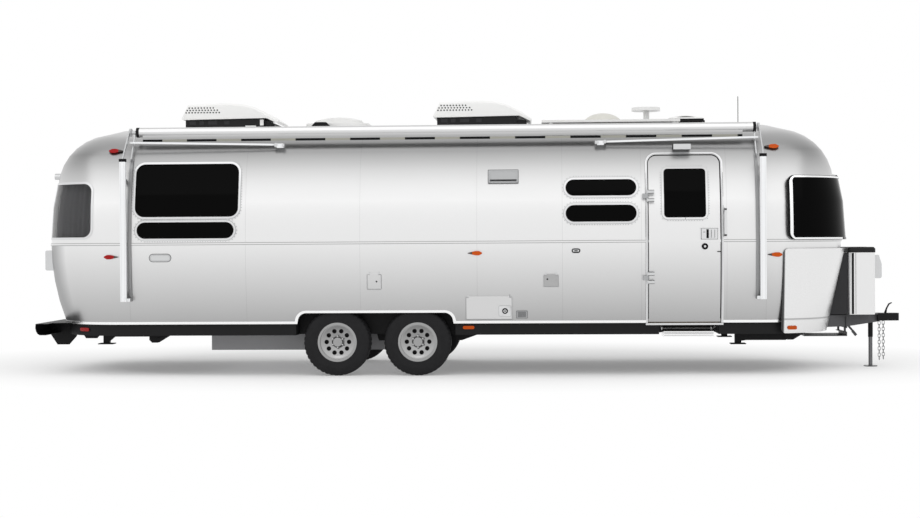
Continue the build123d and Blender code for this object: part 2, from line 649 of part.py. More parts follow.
# spare-wheel carrier under the A-frame, hung from a cross strap, with its crank lever
carrier = box(3640, 4110, -235, 235, 352, 362)
for x in (3640, 4102):
    carrier = carrier + box(x, x + 8, -235, 235, 362, belly_z if x < 3800 else 400)
carrier = carrier + box(4070, 4110, -235, 235, 392, 400)
for y in (-200, 192):
    carrier = carrier + box(4080, 4104, y, y + 8, 400, rail_top_z - 20)
lever_bar = bar_between((4140, -90, 470), (4222, -90, 376), 12, 22)
lever_bar = lever_bar + bar_between((4196, -90, 402), (4236, -90, 352), 16, 30)
carrier = carrier + box(4100, 4180, -110, -70, 460, 486) + lever_bar + box(4100, 4112, -235, 235, 440,
                                                                           rail_top_z - 20)
save("hitch_frame", frame + carrier + box(4100, 4330, -300, 300, rail_top_z, cover_z0))

# ---------------------------------------------------------------- rear bumper
bumper_profile = [(0, bumper_top_z), (-4, 520), (4, 482), (20, 455), (44, bumper_bottom_z),
                  (112, bumper_bottom_z)]
outside = [(bumper_rear_x + dx, z) for dx, z in bumper_profile]
bumper = prism(outside + [(bumper_rear_x + 128, 452), (bumper_rear_x + 128, bumper_top_z)],
               -bumper_half_width, bumper_half_width)
bumper = bumper - prism([(x + bumper_sheet + 0.5, z + (bumper_sheet if z < 450 else 0)) for x,
                         z in outside[1:]]
                        + [(bumper_rear_x + 160, 445), (bumper_rear_x + 160, bumper_top_z - bumper_sheet),
                           (bumper_rear_x + bumper_sheet, bumper_top_z - bumper_sheet)], -far, far)
bumper = bumper + (box(bumper_rear_x + 20, -4300, -900, 900, bumper_top_z - bumper_sheet, bumper_top_z)
                   - tray - proud)
for y in (-520, 520):
    bumper = bumper + (box(bumper_rear_x + bumper_sheet, -4300, y - 38, y + 38, belly_z + 20, 550)
                       - tray - outer)
skid = [prism([(-4640, 556), (-4728, bumper_bottom_z), (-4640, 306), (-4506, 306), (-4422, 400),
               (-4422, 556)], y - 4, y + 4) for y in (-560, 560)]
for piece in skid:
    bumper = bumper + (piece - tray - proud)
save("rear_bumper", bumper - proud)

# ---------------------------------------------------------------- underbody
pan = box(-2884, -560, -680, 680, 248, belly_z)
for x in axle_xs.values():
    pan = pan - box(x + arm_length - axle_beam / 2 - 10, x + arm_length + axle_beam / 2 + 10, -700, 700,
                    belly_z - axle_beam - 10, belly_z + 1)
save("tank_pan", pan)
# corner stabilizers, folded up: pivot x, foot x, y, thickness of the leg, height of the foot
stabilizers = {
    "rear": (-3455.0, -4006.0, 840.0, 20.0, 328.0),
    "front": (3430.0, 2860.0, 640.0, 90.0, 296.0),
}
stab_pivot_z = 392.0
stab_half = 26.0
brackets = []
for end, (px, fx, leg_y, depth, foot_z) in stabilizers.items():
    for side, side_name in ((-1, "right"), (1, "left")):
        y = side * leg_y
        for k in (-1, 1):
            cheek_y = y + k * (stab_half + 8)
            cheek = prism([(px - 76, belly_z), (px - 76, 372), (px - 44, 342), (px + 20, 342),
                           (px + 170, belly_z)],
                          cheek_y - 3, cheek_y + 3)
            brackets.append(cheek - cylinder_y(px, y - 60, y + 60, stab_pivot_z, 9.0))
        pin = cylinder_y(px, y - stab_half - 12, y + stab_half + 12, stab_pivot_z, 8.95)
        top_z = belly_z - running_gap
        leg = prism([(px + 24, stab_pivot_z - 22), (px + 24, top_z - 12), (px - 10, top_z), (fx - 34, top_z),
                     (fx - 34, foot_z + 10), (fx + 34, foot_z + 10), (fx + 34, foot_z + 34),
                     (fx + 90, top_z - depth), (px - 60, top_z - depth), (px - 10, stab_pivot_z - 22)],
                    y - stab_half, y + stab_half)
        leg = leg + pin + box(fx - 82, fx + 82, y - 70, y + 70, foot_z, foot_z + 10)
        save(f"stabilizer_{end}_{side_name}", leg)
for side in (-1, 1):
    lo, hi = sorted((side * 700.0, side * 760.0))
    for x in (axle_mid_x + 14, -160.0):
        hanger = prism([(x - 60, belly_z), (x + (60 if x < -500 else 260), belly_z), (x + 34, 352),
                        (x - 34, 352)], lo, hi)
        brackets.append(hanger - pan)

# ---------------------------------------------------------------- door step
step_x0, step_x1 = 2004.0, 2572.0
step_pivot = (-1000.0, 508.0)
step_arm = 200.0
step_angle = 8.0
ty = step_pivot[0] + step_arm * cos(radians(step_angle))
tz = step_pivot[1] - step_arm * sin(radians(step_angle))
arms = []
for x, s in ((step_x0, 1), (step_x1, -1)):
    bar = Pos(x, (step_pivot[0] + ty) / 2, (step_pivot[1] + tz) / 2) * Rot(-step_angle, 0, 0) * Box(8,
            step_arm + 30, 30)
    arms.append(bar + Pos(x - s * 9, *step_pivot) * Rot(0, 90, 0) * Cylinder(8, 12))
rod = Pos((step_x0 + step_x1) / 2, ty, tz) * Rot(0, 90, 0) * Cylinder(7.95, step_x1 - step_x0)
save("step_arms", arms[0] + arms[1] + rod)
for x0, x1 in ((bay_x0, step_x0 - 10), (step_x1 + 10, bay_x1)):
    cheek = box(x0, x1, -1120, bay_y, 450, 553)
    brackets.append(cheek - Pos((x0 + x1) / 2, *step_pivot) * Rot(0, 90, 0) * Cylinder(8.05, 60))
brackets.append(box(bay_x0 + seat_gap, bay_x1 - seat_gap, bay_y - 8, bay_y - seat_gap, 450, 553)
        - box(bay_x0 - 1, step_x0 - 9, -900, -700, 400, 600) - box(step_x1 + 9, bay_x1 + 1, -900, -700,
                                                                   400, 600))
tread_x0, tread_x1 = 2022.0, 2554.0
tread = box(tread_x0, tread_x1, ty - 318, ty - 14, 404, 462) - box(tread_x0 + 4, tread_x1 - 4, ty - 314,
                                                                   ty, 400, 457)
for x in (tread_x0, tread_x1 - 6):
    tread = tread + box(x, x + 6, ty - 60, ty + 14, 457, tz + 14)
tread = tread - Pos((step_x0 + step_x1) / 2, ty, tz) * Rot(0, 90, 0) * Cylinder(8.05, step_x1 - step_x0)
save("step_tread", tread)
save("underbody_brackets", *brackets)

# ---------------------------------------------------------------- stone guards and front window guard
guard_sheet, guard_foot_z, guard_top_z = 5.0, 440.0, 1330.0
guard_edge_y = 500.0
guard_rows = ((guard_top_z + 30, -32.0, -42.0),
              (guard_foot_z - 30, 56.0, 171.0))   # z, side inset, end inset


def guard_form(by):
    """The straight-drawn form that the stone guards lie on, moved out by `by`."""
    wires = [plan_outline(half_width - side + by, front_tip - end + by, rear_tip, corner_radius + by,
                          end_radius + by, z) for z, side, end in guard_rows]
    return Solid.make_loft(wires, True)


guards_all = guard_form(guard_sheet) - guard_form(0)
guard_pads = guard_form(1) - outer
guard_low = []
for side in (-1, 1):
    lo, hi = sorted((side * guard_edge_y, side * far))
    cut = prism([(3244, guard_foot_z), (3264, guard_top_z), (4400, guard_top_z), (4400, guard_foot_z)],
                lo, hi)
    cut = fillet(cut.edges().filter_by(Axis.Y).filter_by(lambda e: e.center().X < 3400), 55)
    guard = guards_all & cut
    for z in (690.0, 1280.0):
        lo, hi = sorted((side * 700.0, side * far))
        guard = guard + (guard_pads & box(3340, 3380, lo, hi, z - 20, z + 20))
        lo, hi = sorted((side * (guard_edge_y + 10), side * (guard_edge_y + 50)))
        guard = guard + (guard_pads & box(3600, 4400, lo, hi, z - 20, z + 20))
    guard_low.append(guard)
save("stone_guards", *guard_low)

# window guards: a lifting centre pane and two fixed corner panes
pane_gap, pane_sheet = 46.0, 6.0
guard_panes = body_solid(-pane_gap - pane_sheet) - body_solid(-pane_gap)
pane_pads = body_solid(-pane_gap - 1) - outer
centre_y = 575.0
window_guard = guard_panes & box(3600, 4400, -centre_y + 4, centre_y - 4, 1422, 2100)
pin_x, pin_z = 3975.0, 2118.0
guard_pin = 4.0
pane_inside, pane_outside = body_solid(-pane_gap), body_solid(-pane_gap - pane_sheet - 1)
for y in (-350.0, 350.0):
    barrel = cylinder_y(pin_x, y - 48, y - 17, pin_z, 8) + cylinder_y(pin_x, y + 17, y + 48, pin_z, 8)
    barrel = barrel + cylinder_y(pin_x, y - 48, y + 48, pin_z, guard_pin)
    for lo, hi in ((y - 48, y - 17), (y + 17, y + 48)):
        barrel = barrel + prism([(pin_x, pin_z - 4), (pin_x, pin_z + 8), (pin_x + 60, 2094),
                                 (pin_x + 60, 2078), (pin_x + 28, 2078)], lo, hi) - pane_inside
        barrel = barrel & pane_outside
    window_guard = window_guard + barrel
    arm = prism([(3850, 2095), (pin_x, pin_z - 8), (pin_x + 2, pin_z + 8), (3850, 2155)], y - 15,
                y + 15) + cylinder_y(pin_x, y - 15, y + 15, pin_z, 8)
    wall_fittings.append(arm - outer - cylinder_y(pin_x, y - 60, y + 60, pin_z, guard_pin + 0.05))
save("window_guard", window_guard)
wings = []
for side in (-1, 1):
    lo, hi = sorted((side * centre_y, side * far))
    cut = rounded(3304, 4700, 1422, 2100, 80, lo, hi)
    wing = guard_panes & cut
    for z in (1500.0, 2040.0):
        lo, hi = sorted((side * 900.0, side * far))
        wing = wing + (pane_pads & box(3330, 3362, lo, hi, z - 14, z + 14) & cut)
        lo, hi = sorted((side * (centre_y + 8), side * (centre_y + 36)))
        wing = wing + (pane_pads & box(3600, 4400, lo, hi, z - 14, z + 14) & cut)
    wings.append(wing)
save("guard_wings", *wings)

# ---------------------------------------------------------------- awning
awning_x = (-3592.0, 2915.0)
roller_y, roller_z, roller_r = -970.0, 2622.0, 52.0
roller = Pos((awning_x[0] + awning_x[1]) / 2, roller_y, roller_z) * Rot(0, 90, 0) * Cylinder(roller_r,
        awning_x[1] - awning_x[0])
valance = box(awning_x[0] + 40, awning_x[1] - 40, roller_y - 40, roller_y - 36, roller_z - 72, roller_z - 20)
save("awning_roller", roller + valance)
arms_x = (-3690.0, 3045.0)
arm_out, arm_in = -1345.0, -1306.0
arms = []
for x in arms_x:
    way = 1 if x < 0 else -1
    roller_end = awning_x[0] if x < 0 else awning_x[1]
    arms.append(box(x - 31, x + 31, arm_out, arm_in, 806, 2290))
    cap = box(x - 36, x + 36, arm_out, arm_in + 4, 2290 + seat_gap, 2322)
    strut_lo = prism_x([(arm_out + 8, 2322), (arm_in - 4, 2322), (roller_y - 40, roller_z - 12),
                        (roller_y + 8, roller_z - 12),
                        (roller_y + 8, roller_z + 30), (roller_y - 62, roller_z + 24)], x - 7, x + 7)
    strut_lo = strut_lo + cylinder_x(x - 11, x + 11, roller_y, roller_z, 44)
    rail_x = x + way * 46
    rail_form = (body_solid(-26) - proud) & box(rail_x - 17, rail_x + 17, -far, -900, 806, 2330)
    lo, hi = sorted((x - way * 30, rail_x + way * 17))
    rail_form = rail_form + (box(lo, hi, arm_in + seat_gap, -1120, 806, 840) - proud)
    rail_form = rail_form + (prism_x([(-1180, 2300), (-1150, 2330), (roller_y - 12, roller_z - 20),
                                      (roller_y + 24, roller_z - 8),
                                      (-1120, 2330), (-1150, 2300)], rail_x - 6, rail_x + 6) - proud)
    rail_form = rail_form + cylinder_x(*sorted((x + way * 12, rail_x + way * 6)), roller_y, roller_z, 20)
    ends = sorted((x, roller_end))
    shaft = Pos(sum(ends) / 2, roller_y, roller_z) * Rot(0, 90, 0) * Cylinder(14, ends[1] - ends[0])
    inner_end = -2052.0 if x < 0 else 1372.0
    bar_from, bar_to = (x + way * 14, -1072.0, 2508.0), (inner_end, -1034.0, 2474.0)
    bar = bar_between(bar_from, bar_to, 20, 20)
    foot = box(inner_end - 36, inner_end + 36, -1060, -900, 2440, 2486) - outer - body_solid(0)
    arms.append(cap + strut_lo + shaft + bar + foot)
    arms.append(rail_form)
    for z0, z1 in ((850, 900), (2060, 2110)):
        arms.append(box(x - 12, x + 12, arm_in + seat_gap, -1050, z0, z1) - body_solid(-26))
save("awning_arms", *arms)
save("wall_fittings", *wall_fittings, handle, porch, range_vent, small_vent, badge, outlet, *rear_boxes)

# marker lamps: teardrops on the walls and low oblong ones on the skirt
def teardrop(x, z, way, side, length=150.0, height=46.0):
    """A lamp that tapers to the rear, on the wall; way is the direction of its blunt end."""
    pts = [(x + way * length / 2, z - 6), (x + way * length / 2, z + 6),
           (x + way * length * 0.3, z + height / 2),
           (x + way * length * 0.05, z + height / 2), (x - way * length / 2, z + 3),
           (x - way * length / 2, z - 3),
           (x + way * length * 0.05, z - height / 2), (x + way * length * 0.3, z - height / 2)]
    lo, hi = sorted((side * 700.0, side * far))
    return (body_solid(-22) - outer) & prism(pts, lo, hi)


red_lamps = [(-3838.0, 2425.0, -1), (-3842.0, 1280.0, -1)]
amber_lamps = [(3173.0, 2412.0, 1), (3175.0, 1268.0, 1), (38.0, 1300.0, 1)]
reds, ambers = [], []
for side in (-1, 1):
    reds += [teardrop(x, z, way, side) for x, z, way in red_lamps]
    ambers += [teardrop(x, z, way, side) for x, z, way in amber_lamps]
    lo, hi = sorted((side * 700.0, side * far))
    tray_skin = extrude(Face(plan_outline(half_width - sill_side - tray_inset + 12,
                                          front_tip - sill_front - tray_inset + 12,
                                          rear_tip + sill_rear + tray_inset - 12,
                                          corner_radius - tray_inset + 12,
                                          end_radius - tray_inset + 12, belly_z)),
                                          amount=sill_z - belly_z) - tray
    ambers.append(tray_skin & rounded(-97, 25, 494, 528, 15, lo, hi))
    reds.append(tray_skin & rounded(-4262, -4142, 478, 516, 15, lo, hi))
    guard_skin = guard_form(guard_sheet + 8) - guard_form(guard_sheet)
    ambers.append(guard_skin & rounded(3318, 3418, 478, 516, 12, lo, hi))
save("lamps_red", *reds)
save("lamps_amber", *ambers)

# ---------------------------------------------------------------- roof equipment
roof_solid = body_solid(0) & box(2500, 3400, -far, far, 2400, top)


def ac_unit(x0):
    """Wedge-fronted shroud over a dark base pan, as two solids."""
    cover = prism([(x0, 2815), (x0 + 20, 2802), (x0 + 960, 2816), (x0 + 1082, 2757), (x0 + 1096, 2781),
                   (x0 + 990, 2855),
                   (x0 + 822, 2942), (x0 + 700, 2972), (x0 + 550, 2986), (x0 + 348, 2985),
                   (x0 + 78, 2971)], -350, 350)
    for way in (0, -1):
        upper = cover.faces().sort_by(Axis.Y)[way].edges().filter_by(lambda e: e.center().Z > 2870)
        cover = chamfer(upper, 22)
    return cover - roof_plug


roof_plug = outer
bases = []
for name, x0 in (("ac_rear", -3281.0), ("ac_front", -457.0)):
    save(name, ac_unit(x0))
    base = prism([(x0 + 46, 2560), (x0 + 46, 2802), (x0 + 930, 2815.2), (x0 + 930, 2560)], -318, 318) - outer
    tail = prism([(x0 + 930 + seat_gap, 2560), (x0 + 930 + seat_gap, 2790), (x0 + 1040, 2760),
                  (x0 + 1040, 2560)], -280, 280) - outer
    bases += [base, tail]
save("ac_bases", *bases)
panel_y0, panel_y1 = -752.0, -300.0
feet = [box(x, x + 40, y, y + 40, 2500, 2705) - outer for x in (830, 2160) for y in (panel_y0 + 20,
                                                                                     panel_y1 - 60)]
save("solar_panel", box(748, 2240, panel_y0, panel_y1, 2705, 2731), *feet)

dome_x, dome_y, dome_r = 1447.0, 300.0, 230.0
dome = Pos(dome_x, dome_y, 2738) * scale(Sphere(dome_r), (1, 1, 0.62)) & box(1000, 2000, -500, 900, 2738,
                                                                             3000)
dome = dome + cylinder_z(dome_x, dome_y, 2640, 2738, dome_r + 14) - outer
sky_x, sky_y = -1540.0, 0.0
sky = Pos(sky_x, sky_y, 2640) * extrude(RectangleRounded(704, 560, 90), amount=114)
sky = sky + Pos(sky_x, sky_y, 2754) * extrude(RectangleRounded(520, 420, 110), amount=34)
cap_r = 900.0
sky = sky + (Pos(sky_x, sky_y, 2838 - cap_r) * Sphere(cap_r)
             & (Pos(sky_x, sky_y, 2780) * extrude(RectangleRounded(500, 400, 100), amount=80)))
stack = prism([(-1802, 2600), (-1802, 2722), (-1766, 2760), (-1644, 2760), (-1606, 2722), (-1606, 2600)],
              -400, -300) - outer
save("roof_domes", dome, sky - outer, stack)
antenna = cylinder_z(1947, 300, 2640, 2900, 34) + cylinder_z(1942, 300, 2900, 2938, 163) - outer
whip = cylinder_z(2975, 200, 2640, 2745, 22) - outer
save("antennas", antenna, whip + cylinder_z(2975, 200, 2745, 3049, 4))

vent_x, vent_y, vent_half = 2366.0, 130.0, 180.0
vent_base = box(vent_x - vent_half, vent_x + vent_half, vent_y - vent_half, vent_y + vent_half, 2600, 2776)
vent_base = vent_base - box(vent_x - vent_half + 14, vent_x + vent_half - 14, vent_y - vent_half + 14,
                            vent_y + vent_half - 14, 2640, 2780) - outer
lid_half = vent_half + 18
lid_z = 2752.0
vent_lid = box(vent_x - lid_half, vent_x + lid_half, vent_y - lid_half, vent_y + lid_half, lid_z, 2800)
vent_lid = chamfer(vent_lid.faces().sort_by(Axis.Z)[-1].edges(), 16)
vent_lid = vent_lid + (Pos(vent_x, vent_y, 2834 - 500) * Sphere(500) & box(vent_x - 140, vent_x + 140,
        vent_y - 140, vent_y + 140, 2798, 2900))
vent_lid = vent_lid - box(vent_x - vent_half - 8, vent_x + vent_half + 8, vent_y - vent_half - 8,
                          vent_y + vent_half + 8, 2700, 2776.3)
vent_pin_x = vent_x + lid_half + 9
for y in (vent_y - 120, vent_y + 120):
    ear = cylinder_y(vent_pin_x, y - 30, y + 30, lid_z + 8, 8) + box(vent_x + lid_half - 6, vent_pin_x,
                                                                     y - 30, y + 30, lid_z + 4, lid_z + 15)
    ear = ear - cylinder_y(vent_pin_x, y - 14, y + 14, lid_z + 8, 10) - box(vent_x + lid_half + 0.5,
            vent_pin_x + 20, y - 14, y + 14, lid_z - 10, lid_z + 30)
    vent_lid = vent_lid + ear + cylinder_y(vent_pin_x, y - 30, y + 30, lid_z + 8, 3.95)
    post = box(vent_pin_x - 8, vent_pin_x + 8, y - 12, y + 12, 2600, lid_z + 8) + cylinder_y(vent_pin_x,
            y - 12, y + 12, lid_z + 8, 8)
    vent_base = vent_base + (box(vent_x + vent_half - 2, vent_pin_x + 8, y - 12, y + 12, 2600,
            lid_z - 14) + post - cylinder_y(vent_pin_x, y - 60, y + 60, lid_z + 8, 4.0) - outer)
save("vent_lid", vent_lid)
save("vent_base", vent_base)
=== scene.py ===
"""Looks of the travel caravan: smooth riveted aluminium skin, dark glass, tyres, trim, light and camera.
Lengths are in metres, +X is forward, +Y the road side and +Z up."""
import json
import math

import bmesh
import bpy
from mathutils import Matrix, Vector


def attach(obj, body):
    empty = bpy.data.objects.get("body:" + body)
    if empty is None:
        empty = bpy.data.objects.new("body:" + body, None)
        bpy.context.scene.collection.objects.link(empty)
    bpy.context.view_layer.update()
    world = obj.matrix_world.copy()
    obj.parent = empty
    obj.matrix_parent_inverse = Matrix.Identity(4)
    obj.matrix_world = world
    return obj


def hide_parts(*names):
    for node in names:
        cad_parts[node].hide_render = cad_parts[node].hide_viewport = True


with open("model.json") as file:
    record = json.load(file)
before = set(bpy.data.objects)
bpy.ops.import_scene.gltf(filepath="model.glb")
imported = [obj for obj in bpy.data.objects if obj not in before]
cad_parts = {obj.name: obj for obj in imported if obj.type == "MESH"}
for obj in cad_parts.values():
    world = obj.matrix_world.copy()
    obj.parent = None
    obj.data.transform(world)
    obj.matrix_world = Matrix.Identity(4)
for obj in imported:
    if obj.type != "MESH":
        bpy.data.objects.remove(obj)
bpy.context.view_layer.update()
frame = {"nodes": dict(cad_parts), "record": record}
nodes = frame["nodes"]

# ---- driving sizes of the body
HALF_WIDTH = 1.246
BELT_Z = 1.416
SILL_Z = 0.555
FRONT_TIP = 4.038
REAR_TIP = -4.740
CORNER_RADIUS = 0.750
END_RADIUS = 3.000
SMALLEST_CORNER = 0.060
SIDE_RADIUS = 2.960
SIDE_ANGLE = math.radians(15)
SHOULDER_RADIUS = 0.600
SHOULDER_ANGLE = math.radians(71)
CROWN_END = math.radians(85.5)
LOWER_SIDE_RADIUS = 4.900
LOWER_FRONT_RADIUS = 1.700
LOWER_REAR_RADIUS = 2.300
REAR_SEAM = -3.655
FRONT_SEAM = 3.090

SIDE_TOP = (SIDE_RADIUS * (1 - math.cos(SIDE_ANGLE)), BELT_Z + SIDE_RADIUS * math.sin(SIDE_ANGLE))
SHOULDER_TOP = (
    SIDE_TOP[0] + SHOULDER_RADIUS * (math.cos(SIDE_ANGLE) - math.cos(SHOULDER_ANGLE)),
    SIDE_TOP[1] + SHOULDER_RADIUS * (math.sin(SHOULDER_ANGLE) - math.sin(SIDE_ANGLE)),
)
CROWN_RADIUS = (HALF_WIDTH - SHOULDER_TOP[0]) / math.cos(SHOULDER_ANGLE)


def level(z):
    """Insets of side, front and rear at height z, and then how far each leans back."""
    if z < BELT_Z:
        down = BELT_Z - z
        radii = (LOWER_SIDE_RADIUS, LOWER_FRONT_RADIUS, LOWER_REAR_RADIUS)
        return [down ** 2 / (2 * r) for r in radii] + [-down / r for r in radii]
    if z <= SIDE_TOP[1]:
        lean = math.asin((z - BELT_Z) / SIDE_RADIUS)
        inset = SIDE_RADIUS * (1 - math.cos(lean))
    elif z <= SHOULDER_TOP[1]:
        rise = (z - SIDE_TOP[1]) / SHOULDER_RADIUS + math.sin(SIDE_ANGLE)
        lean = math.asin(rise)
        inset = SIDE_TOP[0] + SHOULDER_RADIUS * (math.cos(SIDE_ANGLE) - math.cos(lean))
    else:
        rise = min((z - SHOULDER_TOP[1]) / CROWN_RADIUS + math.sin(SHOULDER_ANGLE), math.sin(CROWN_END))
        lean = math.asin(rise)
        inset = SHOULDER_TOP[0] + CROWN_RADIUS * (math.cos(SHOULDER_ANGLE) - math.cos(lean))
    return [inset] * 3 + [lean] * 3


class Plan:
    """The body's plan outline at one height: straight sides, corner arcs and nearly flat end arcs."""

    def __init__(self, z, proud=0.0):
        side, front, rear, self.side_lean, self.front_lean, self.rear_lean = level(z)
        upper = z >= BELT_Z
        self.z = z
        self.half = HALF_WIDTH - side + proud
        self.front = FRONT_TIP - front + proud
        self.rear = REAR_TIP + rear - proud
        shrink = side if upper else 0.0
        self.corner = max(CORNER_RADIUS - shrink, SMALLEST_CORNER) + proud
        self.end = END_RADIUS - shrink + proud
        reach = self.half - self.corner
        self.depth = self.end - math.sqrt((self.end - self.corner) ** 2 - reach ** 2)
        self.turn = math.asin(reach / (self.end - self.corner))

    def outward(self, x, y):
        """Unit plan vector that points out of the outline nearest to (x, y)."""
        side = 1.0 if y >= 0 else -1.0
        for tip, way in ((self.front, 1.0), (self.rear, -1.0)):
            start = tip - way * self.depth
            if way * (x - start) <= 0:
                continue
            dx, dy = way * (x - start), abs(y) - (self.half - self.corner)
            if dy > 0 and math.atan2(dy, dx) > self.turn:
                length = math.hypot(dx, dy)
                return way * dx / length, side * dy / length
            dx, dy = way * (x - (tip - way * self.end)), abs(y)
            length = math.hypot(dx, dy)
            return way * dx / length, side * dy / length
        return 0.0, side

    def normal(self, x, y):
        """Outward unit normal of the body's surface at (x, y) on this outline."""
        nx, ny = self.outward(x, y)
        lean = self.side_lean * ny * ny + (self.front_lean if nx > 0 else self.rear_lean) * nx * nx
        return Vector((nx * math.cos(lean), ny * math.cos(lean), math.sin(lean)))

    def half_at(self, x):
        """Half width of the outline at x."""
        for tip, way in ((self.front, 1.0), (self.rear, -1.0)):
            along = way * (x - (tip - way * self.depth))
            if along <= 0:
                continue
            if along < self.corner * math.cos(self.turn):
                return self.half - self.corner + math.sqrt(self.corner ** 2 - along ** 2)
            return math.sqrt(max(0.0, self.end ** 2 - (x - (tip - way * self.end)) ** 2))
        return self.half

    def around(self, step):
        """Points and normals along the whole outline, about step apart, from the kerb side's rear."""
        points = []

        def arc(x, y, way, radius, start, sweep):
            count = max(2, round(radius * sweep / step))
            for i in range(count):
                a = start + sweep * i / count
                points.append((x + way * radius * math.cos(a), way * (y + radius * math.sin(a))))

        reach = self.half - self.corner
        bend = math.pi / 2 - self.turn
        for tip, way in ((self.front, 1.0), (self.rear, -1.0)):
            start = tip - way * self.depth
            other = self.rear + self.depth if way > 0 else self.front - self.depth
            count = max(2, round(abs(start - other) / step))
            for i in range(count):
                points.append((other + (start - other) * i / count, -way * self.half))
            arc(start, -reach, way, self.corner, -math.pi / 2, bend)
            arc(tip - way * self.end, 0.0, way, self.end, -self.turn, 2 * self.turn)
            arc(start, reach, way, self.corner, self.turn, bend)
        return [(Vector((x, y, self.z)), self.normal(x, y)) for x, y in points]


def wall_point(x, z, side, proud=0.0):
    """A point on the body at (x, z), and its normal; side is -1 at the kerb and 1 at the road."""
    plan = Plan(z, proud)
    y = side * plan.half_at(x)
    return Vector((x, y, z)), plan.normal(x, y)


# ---- materials
# painted reflection: what polished sheet mirrors in a pale studio, painted into its colour by height as
# three plain tones; the sides and both ends share them
SHADED_FLOOR = 0.40
PALE_WALL = 0.80
DIM_CEILING = 0.30
SKIN_TOP = 2.74
WINDOW_MIDDLE = 1.86


def skin_share(z):
    """How far up the skin height z is, from 0 at the sill to 1 at the crown."""
    return (z - SILL_Z) / (SKIN_TOP - SILL_Z)


# painted reflection of the floor at the sill, the wall from the belt to the windows, the ceiling in the
# middle of the shoulder
SHELL_PAINTED_REFLECTION = (
    (0.0, SHADED_FLOOR),
    (skin_share(BELT_Z), PALE_WALL),
    (skin_share(WINDOW_MIDDLE), PALE_WALL),
    (skin_share((SIDE_TOP[1] + SHOULDER_TOP[1]) / 2), DIM_CEILING),
    (1.0, PALE_WALL),
)
# painted shade: the belt moulding is darkened along each edge, in its grooves, and the stone guards along a
# fold above their foot
BELT_PAINTED_SHADE = ((0.0, DIM_CEILING), (0.25, DIM_CEILING), (0.30, PALE_WALL),
              (0.70, PALE_WALL), (0.75, DIM_CEILING), (1.0, DIM_CEILING))
GUARD_PAINTED_SHADE = ((0.0, PALE_WALL), (0.15, PALE_WALL), (0.17, DIM_CEILING), (0.18, PALE_WALL), (1.0, PALE_WALL))
# painted shade: the roller cover is darker towards its underside
ROLLER_PAINTED_SHADE = ((0.0, SHADED_FLOOR), (0.6, PALE_WALL), (1.0, PALE_WALL))
# how strongly the rear corners are darkened with painted shade and the joints between sheets as dark joints,
# and to what
CORNER_SHADE = 0.80
CORNER_DARK = (0.06, 0.06, 0.065)
SEAM_SHADE = 0.25
SEAM_DARK = (0.12, 0.12, 0.125)
EDGE_SHADE = (0.02, 0.02, 0.02)


def even(tone):
    """One tone from foot to head."""
    return (0.0, tone), (1.0, tone)


def material(name, colour, metallic=0.0, roughness=0.5, **sockets):
    """A plain surface; sockets are further named inputs of the shader."""
    made = bpy.data.materials.new(name)
    made.use_nodes = True
    shader = made.node_tree.nodes["Principled BSDF"]
    shader.inputs["Base Color"].default_value = (*colour, 1)
    shader.inputs["Metallic"].default_value = metallic
    shader.inputs["Roughness"].default_value = roughness
    for key, value in sockets.items():
        shader.inputs[key.replace("_", " ")].default_value = value
    return made


class Build:
    """Small helper that adds shader nodes to one material, or to the world."""

    def __init__(self, owner):
        self.tree = owner.node_tree
        self.shader = self.tree.nodes.get("Principled BSDF")

    def node(self, kind, **values):
        made = self.tree.nodes.new(kind)
        for key, value in values.items():
            setattr(made, key, value)
        return made

    def link(self, out, into):
        self.tree.links.new(out, into)

    def feed(self, value, socket):
        """Sets a socket to a plain number or colour, or links it to an output."""
        if isinstance(value, bpy.types.NodeSocket):
            self.link(value, socket)
        else:
            socket.default_value = (*value, 1) if isinstance(value, tuple) else value

    def position(self):
        return self.node("ShaderNodeTexCoord").outputs["Object"]

    def facing(self):
        """The surface normal, each axis from 0 to 1."""
        made = self.node("ShaderNodeVectorMath", operation="MULTIPLY_ADD")
        self.link(self.node("ShaderNodeNewGeometry").outputs["Normal"], made.inputs[0])
        made.inputs[1].default_value = (0.5, 0.5, 0.5)
        made.inputs[2].default_value = (0.5, 0.5, 0.5)
        return made.outputs[0]

    def axes(self, source):
        split = self.node("ShaderNodeSeparateXYZ")
        self.link(source, split.inputs[0])
        return split.outputs

    def maths(self, operation, a, b=None, c=None, clamp=False):
        made = self.node("ShaderNodeMath", operation=operation, use_clamp=clamp)
        for i, value in enumerate((a, b, c)):
            if value is not None:
                self.feed(value, made.inputs[i])
        return made.outputs[0]

    def noise(self, scale, source=None, stretch=(1, 1, 1), detail=4.0):
        place = self.node("ShaderNodeMapping")
        place.inputs["Scale"].default_value = stretch
        self.link(source or self.position(), place.inputs["Vector"])
        made = self.node("ShaderNodeTexNoise")
        made.inputs["Scale"].default_value = scale
        made.inputs["Detail"].default_value = detail
        self.link(place.outputs[0], made.inputs["Vector"])
        return made.outputs[0]

    def ramp(self, factor, *stops):
        made = self.node("ShaderNodeValToRGB")
        elements = made.color_ramp.elements
        while len(elements) < len(stops):
            elements.new(0.5)
        for element, (at, colour) in zip(elements, stops):
            element.position = at
            element.color = (*colour, 1) if isinstance(colour, tuple) else (colour, colour, colour, 1)
        self.link(factor, made.inputs[0])
        return made.outputs[0]

    def mix(self, factor, a, b):
        made = self.node("ShaderNodeMix", data_type="RGBA")
        for value, socket in ((factor, "Factor"), (a, 6), (b, 7)):
            self.feed(value, made.inputs[socket])
        return made.outputs[2]

    def spread(self, factor, low, high):
        made = self.node("ShaderNodeMapRange")
        made.inputs["To Min"].default_value = low
        made.inputs["To Max"].default_value = high
        self.link(factor, made.inputs[0])
        return made.outputs[0]

    def colour(self, source):
        self.link(source, self.shader.inputs["Base Color"])

    def roughness(self, source):
        self.link(source, self.shader.inputs["Roughness"])

    def bump(self, height, distance, strength=1.0):
        made = self.node("ShaderNodeBump")
        made.inputs["Distance"].default_value = distance
        made.inputs["Strength"].default_value = strength
        self.link(height, made.inputs["Height"])
        self.link(made.outputs[0], self.shader.inputs["Normal"])


